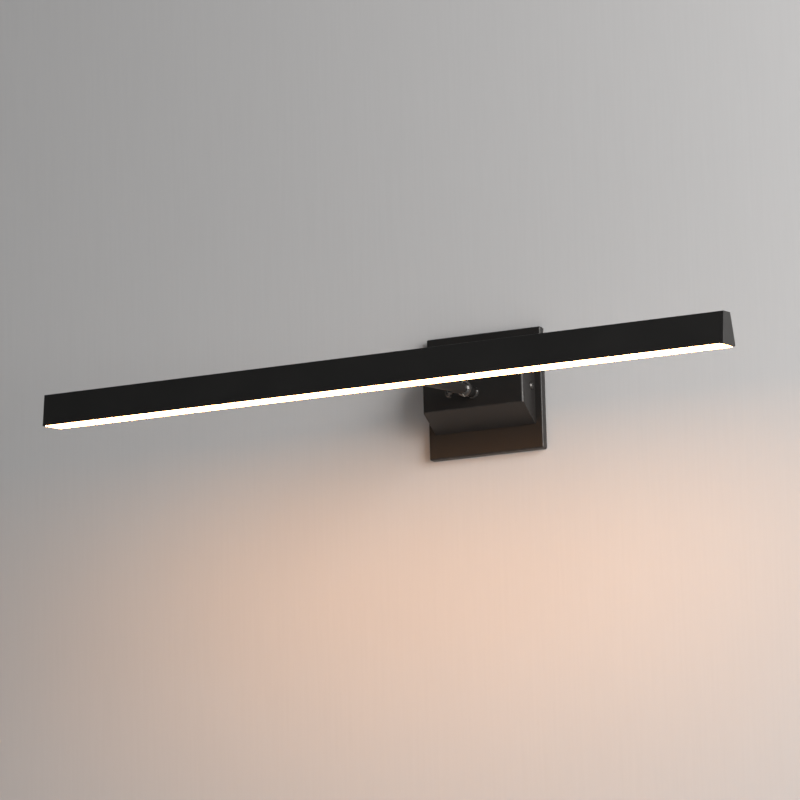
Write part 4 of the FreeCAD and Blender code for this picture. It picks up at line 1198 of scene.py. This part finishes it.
@dataclass
class LightBar:
    """The long LED bar: extruded housing, two end caps and the opal lens."""

    shape: BarShape
    shelf_top: float = -7.2 * MM
    shelf_skin: float = 1.5 * MM
    inner_bend: float = 0.2 * MM
    length_pieces: int = 8
    seam: float = 0.12 * MM
    face_bend: float = 0.4 * MM
    least_top_bend: float = 0.15 * MM
    least_bottom_bend: float = 0.1 * MM
    lens_drop: float = 0.4 * MM
    lens_gap: float = 0.1 * MM
    lens_leg: float = 3.6 * MM
    lens_skin: float = 1.2 * MM
    lens_roll: int = 7
    least_drop: float = 0.25

    def housing(self) -> bpy.types.Object:
        """The channel: outer and inner outline as one closed section, carried along the bar."""
        shape = self.shape
        top, bottom = 0.5 * shape.height, -0.5 * shape.height
        out_low, out_high = shape.half_width(bottom), shape.half_width(top)
        in_low = shape.half_width(bottom, shape.wall)
        in_high = shape.half_width(top - shape.wall, shape.wall)
        corners = [
            (-out_low, bottom), (-out_high, top), (out_high, top), (out_low, bottom),
            (in_low, bottom), (in_high, top - shape.wall), (-in_high, top - shape.wall), (-in_low, bottom),
        ]
        bend = shape.bottom_bend
        radii = [bend, shape.top_bend, shape.top_bend, bend] + [self.inner_bend] * 4
        section = closed_outline(corners, radii, [6, 4, 6, 1, 4, 3, 4, 1])
        end = 0.5 * shape.length - shape.cap
        stations = np.linspace(-end, end, self.length_pieces + 1)
        shell = Shell()
        shape.sweep(shell, section, stations, np.zeros(len(stations)))
        low = self.shelf_top - self.shelf_skin
        wide_low = shape.half_width(low, shape.wall)
        wide_high = shape.half_width(self.shelf_top, shape.wall)
        shelf = closed_outline(
            [(-wide_low, low), (-wide_high, self.shelf_top), (wide_high, self.shelf_top), (wide_low, low)],
            [self.inner_bend] * 4, [1, 4, 1, 4])
        shape.sweep(shell, shelf, stations[[0, -1]], np.zeros(2))
        return finish_piece(shell.piece("bar_housing_extrusion"), Slot.BAR_COAT, Body.ARM, "bar_housing")

    def cap(self, side: int, name: str, node: str) -> bpy.types.Object:
        """An end cap: rings of the bar's outline, drawn in at the seam and rolled over at the face.

        Args:
            side: -1 for the left end and 1 for the right.
            name: the piece's name.
            node: the CAD node that it replaces.

        Returns:
            The cap.
        """
        shape = self.shape
        joint, face = 0.5 * shape.length - shape.cap, 0.5 * shape.length
        profile = open_outline(
            [(joint, self.seam * 3), (joint, 0.0), (face, 0.0), (face, self.face_bend * 3)],
            [self.seam, self.face_bend], 2)
        rings = []
        for _, inset in profile.points:
            top, bottom = 0.5 * shape.height - inset, -0.5 * shape.height + inset
            low, high = shape.half_width(bottom, inset), shape.half_width(top, inset)
            above = max(shape.top_bend - inset, self.least_top_bend)
            below = max(shape.bottom_bend - inset, self.least_bottom_bend)
            rings.append(closed_outline(
                [(-low, bottom), (-high, top), (high, top), (low, bottom)],
                [below, above, above, below], [4, 3, 4, 6]))
        grid = np.empty((len(rings), len(rings[0].edge), 3))
        grid[..., 0] = side * profile.points[:, 0, None]
        grid[..., 1:] = np.stack([ring.points for ring in rings])
        grid[..., 1] -= shape.reach
        edge = np.maximum(profile.edge[:, None], rings[0].edge[None, :])
        shell = Shell()
        shell.add_closed(shape.place.row(grid), edge)
        return finish_piece(shell.piece(name), Slot.BAR_COAT, Body.ARM, node)

    def lens(self) -> bpy.types.Object:
        """The lens: a skin with rolled edges and two legs.

        Its drop dies away in a quarter circle at each end, down to a least share.
        """
        shape = self.shape
        rim = -0.5 * shape.height
        wide = shape.half_width(rim) - self.lens_gap
        leg = shape.half_width(rim, shape.wall + self.lens_gap)
        high = shape.half_width(rim + self.lens_leg, shape.wall + self.lens_gap)
        bottom, skin = rim - self.lens_drop, self.lens_skin
        top = rim + self.lens_leg
        corners = [
            (-wide, rim), (-wide, bottom), (wide, bottom), (wide, rim),
            (leg, rim), (high, top), (high - skin, top), (leg - skin, bottom + skin),
            (-leg + skin, bottom + skin), (-high + skin, top), (-high, top), (-leg, rim),
        ]
        radii = [r * MM for r in (0.1, 0.8, 0.8, 0.1, 0.1, 0.2, 0.2, 0.2, 0.2, 0.2, 0.2, 0.1)]
        section = closed_outline(corners, radii, [1, 12, 1, 1, 1, 1, 1, 6, 1, 1, 1, 1])
        end = 0.5 * shape.length - shape.cap - self.lens_gap
        roll = np.linspace(0, 0.5 * math.pi, self.lens_roll)
        near = end - self.lens_drop * (1 - np.sin(roll))
        stations = np.concatenate([-near[::-1], near])
        share = np.maximum(np.concatenate([np.cos(roll)[::-1], np.cos(roll)]), self.least_drop)
        grid = np.empty((len(stations), len(section.edge), 3))
        grid[..., 0] = stations[:, None]
        grid[..., 1] = section.points[:, 0] - shape.reach
        below = np.minimum(section.points[:, 1] - rim, 0.0)
        grid[..., 2] = section.points[:, 1] - below + below * share[:, None]
        shell = Shell()
        shell.add_closed(shape.place.row(grid), np.zeros(grid.shape[:2]))
        return finish_piece(shell.piece("opal_lens"), Slot.LENS, Body.ARM, "lens")

    def build(self) -> None:
        """The housing, its caps and the lens."""
        self.housing()
        self.cap(-1, "end_cap_left_face", "end_cap_left")
        self.cap(1, "end_cap_right_face", "end_cap_right")
        self.lens()


# ------------------------------------------------------------------ fixings and inner pieces
@dataclass
class Fixings:
    """Screws that show, and everything that keeps its CAD shape."""

    screw_bevel: float = 0.12 * MM
    carried: dict[str, Slot] = field(default_factory=lambda: {
        "crossbar": Slot.ZINC,
        "plate_screws": Slot.ZINC,
        "ground_screw": Slot.GREEN_SCREW,
        "box_chassis": Slot.ZINC,
        "driver_case": Slot.DRIVER,
        "driver_lid": Slot.DRIVER,
        "driver_board": Slot.CIRCUIT,
        "driver_screws": Slot.ZINC,
        "wire_connectors": Slot.CONNECTOR,
        "mains_wires": Slot.MAINS,
        "stem_wires": Slot.WIRE,
        "lamp_wires": Slot.WIRE,
        "friction_disc": Slot.NYLON,
        "stem_washer": Slot.ZINC,
        "stem_nut": Slot.ZINC,
        "stem_bush": Slot.NYLON,
        "knob_washer": Slot.GLOSS_BLACK,
        "bar_hanger": Slot.ALLOY,
        "arm_grub_screw": Slot.BLACK_SCREW,
        "led_board": Slot.BOARD,
        "led_chips": Slot.PHOSPHOR,
        "board_screws": Slot.ZINC,
    })

    def build(self) -> None:
        """Bevel the side screws, and dress each carried node through its material slots."""
        screws = merged_copy("side_screws", "side_screw_pair", self.screw_bevel)
        finish_piece(screws, Slot.BLACK_SCREW, Body.WALL, "side_screws")
        for node, slot in self.carried.items():
            data = frame["nodes"][node].data
            data.materials.clear()
            data.materials.append(FINISHES[slot].material())
            LOG.info("%s keeps its shape, in %s", node, FINISHES[slot].name)


# ------------------------------------------------------------------ studio
@dataclass(frozen=True)
class Painted(Finish):
    """Plain painted surface of the studio, seen from its front only, with faint upright brush lines."""

    roughness: float = 0.0
    lines: float = 0.02
    line_scale: float = 420.0
    line_stretch: tuple[float, float, float] = (1.0, 1.0, 0.03)

    def dress(self, graph: Graph) -> None:
        """Upright lines vary the colour a little, and the back of the surface isn't there."""
        brush = graph.noise(self.line_scale, where=graph.stretched(self.line_stretch))
        low, high = toned(self.colour, 1 - self.lines), toned(self.colour, 1 + self.lines)
        paint = graph.mix(brush, low, high)
        shade = graph.add("BsdfDiffuse", {"Color": paint, "Roughness": self.roughness})
        clear = graph.add("BsdfTransparent")
        behind = graph.add("NewGeometry").outputs["Backfacing"]
        both = graph.add("MixShader", {0: behind, 1: shade.outputs[0], 2: clear.outputs[0]})
        out = graph.add("OutputMaterial")
        graph.tree.links.new(both.outputs[0], out.inputs["Surface"])


@dataclass
class Studio:
    """Wall, floor, lights and camera."""

    wall_gap: float = 0.0005
    reach: float = 9.0
    floor_level: float = -1.25
    azimuth: float = math.radians(23.95)
    elevation: float = math.radians(-12.31)
    roll: float = math.radians(-1.47)
    target: tuple[float, float, float] = (-0.08913, 0.0, 0.00528)
    distance: float = 4.6532
    lens: float = 225.0
    sensor: float = 36.0
    clip: tuple[float, float] = (0.05, 60.0)
    air: Colour = (0.9, 0.95, 1.0)
    air_strength: float = 0.10
    light_spot: tuple[float, float, float] = (2.3, -1.2, 0.35)
    light_side: float = 2.0
    light_watts: float = 92.0
    light_colour: Colour = (1.0, 0.98, 0.96)

    def panel(self, name: str, corners: list[tuple[float, float, float]], finish: Painted) -> None:
        """A flat stage panel through four corners, facing the side that they run anticlockwise on."""
        mesh = bpy.data.meshes.new(name)
        mesh.from_pydata(corners, [], [(0, 1, 2, 3)])
        mesh.materials.append(finish.material())
        made = bpy.data.objects.new(name, mesh)
        bpy.context.scene.collection.objects.link(made)

    def key_light(self) -> None:
        """A soft square light to the right of the lamp, aimed at the origin."""
        data = bpy.data.lights.new("key_light", "AREA")
        data.energy, data.color, data.size = self.light_watts, self.light_colour, self.light_side
        made = bpy.data.objects.new("key_light", data)
        made.location = self.light_spot
        made.rotation_euler = (-Vector(self.light_spot)).to_track_quat("-Z", "Y").to_euler()
        bpy.context.scene.collection.objects.link(made)

    def soft_air(self) -> None:
        """Weak even light from all round."""
        world = bpy.data.worlds.new("studio_air")
        world.use_nodes = True
        inputs = world.node_tree.nodes["Background"].inputs
        inputs["Color"].default_value = solid(self.air)
        inputs["Strength"].default_value = self.air_strength
        bpy.context.scene.world = world

    def camera(self) -> None:
        """The camera, from the front, below and to the right, rolled a little."""
        sine, cosine = math.sin(self.azimuth), math.cos(self.azimuth)
        rise, flat = math.sin(self.elevation), math.cos(self.elevation)
        back = Vector((sine * flat, -cosine * flat, rise))
        right = Vector((cosine, sine, 0.0))
        up = back.cross(right)
        right_rolled = right * math.cos(self.roll) + up * math.sin(self.roll)
        up_rolled = up * math.cos(self.roll) - right * math.sin(self.roll)
        data = bpy.data.cameras.new("camera")
        data.lens, data.sensor_width = self.lens, self.sensor
        data.clip_start, data.clip_end = self.clip
        made = bpy.data.objects.new("camera", data)
        turn = Matrix((right_rolled, up_rolled, back)).transposed().to_4x4()
        made.matrix_world = Matrix.Translation(Vector(self.target) + back * self.distance) @ turn
        bpy.context.scene.collection.objects.link(made)
        bpy.context.scene.camera = made

    def build(self) -> None:
        """Everything round the object."""
        far, gap, low = self.reach, self.wall_gap, self.floor_level
        wall = Painted("studio_wall_paint", (0.62, 0.62, 0.625))
        floor = Painted("studio_floor_paint", (0.7, 0.7, 0.69), lines=0.0)
        wall_foot, floor_front = [(-far, gap, low), (far, gap, low)], [(-far, -far, low), (far, -far, low)]
        self.panel("studio_wall", [*wall_foot, (far, gap, far), (-far, gap, far)], wall)
        self.panel("studio_floor", [*floor_front, *wall_foot[::-1]], floor)
        self.soft_air()
        self.key_light()
        bpy.context.scene.view_settings.view_transform = "Standard"
        self.camera()


def main() -> None:
    """Build the lamp and the studio."""
    logging.basicConfig(level=logging.INFO, format="%(message)s")
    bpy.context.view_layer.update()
    tilt = next(joint for joint in frame["joints"] if joint["name"] == "arm_tilt")
    ball = Vector(tilt["pos_m"])
    place = Place(ball, math.radians(6.1))
    shape = BarShape(place)
    WallPlate().build()
    CoverBox().build()
    Swivel(place).build()
    LockKnob(Place(ball)).build()
    Arm(shape).build()
    LightBar(shape).build()
    Fixings().build()
    Studio().build()


if __name__ == "__main__":
    main()
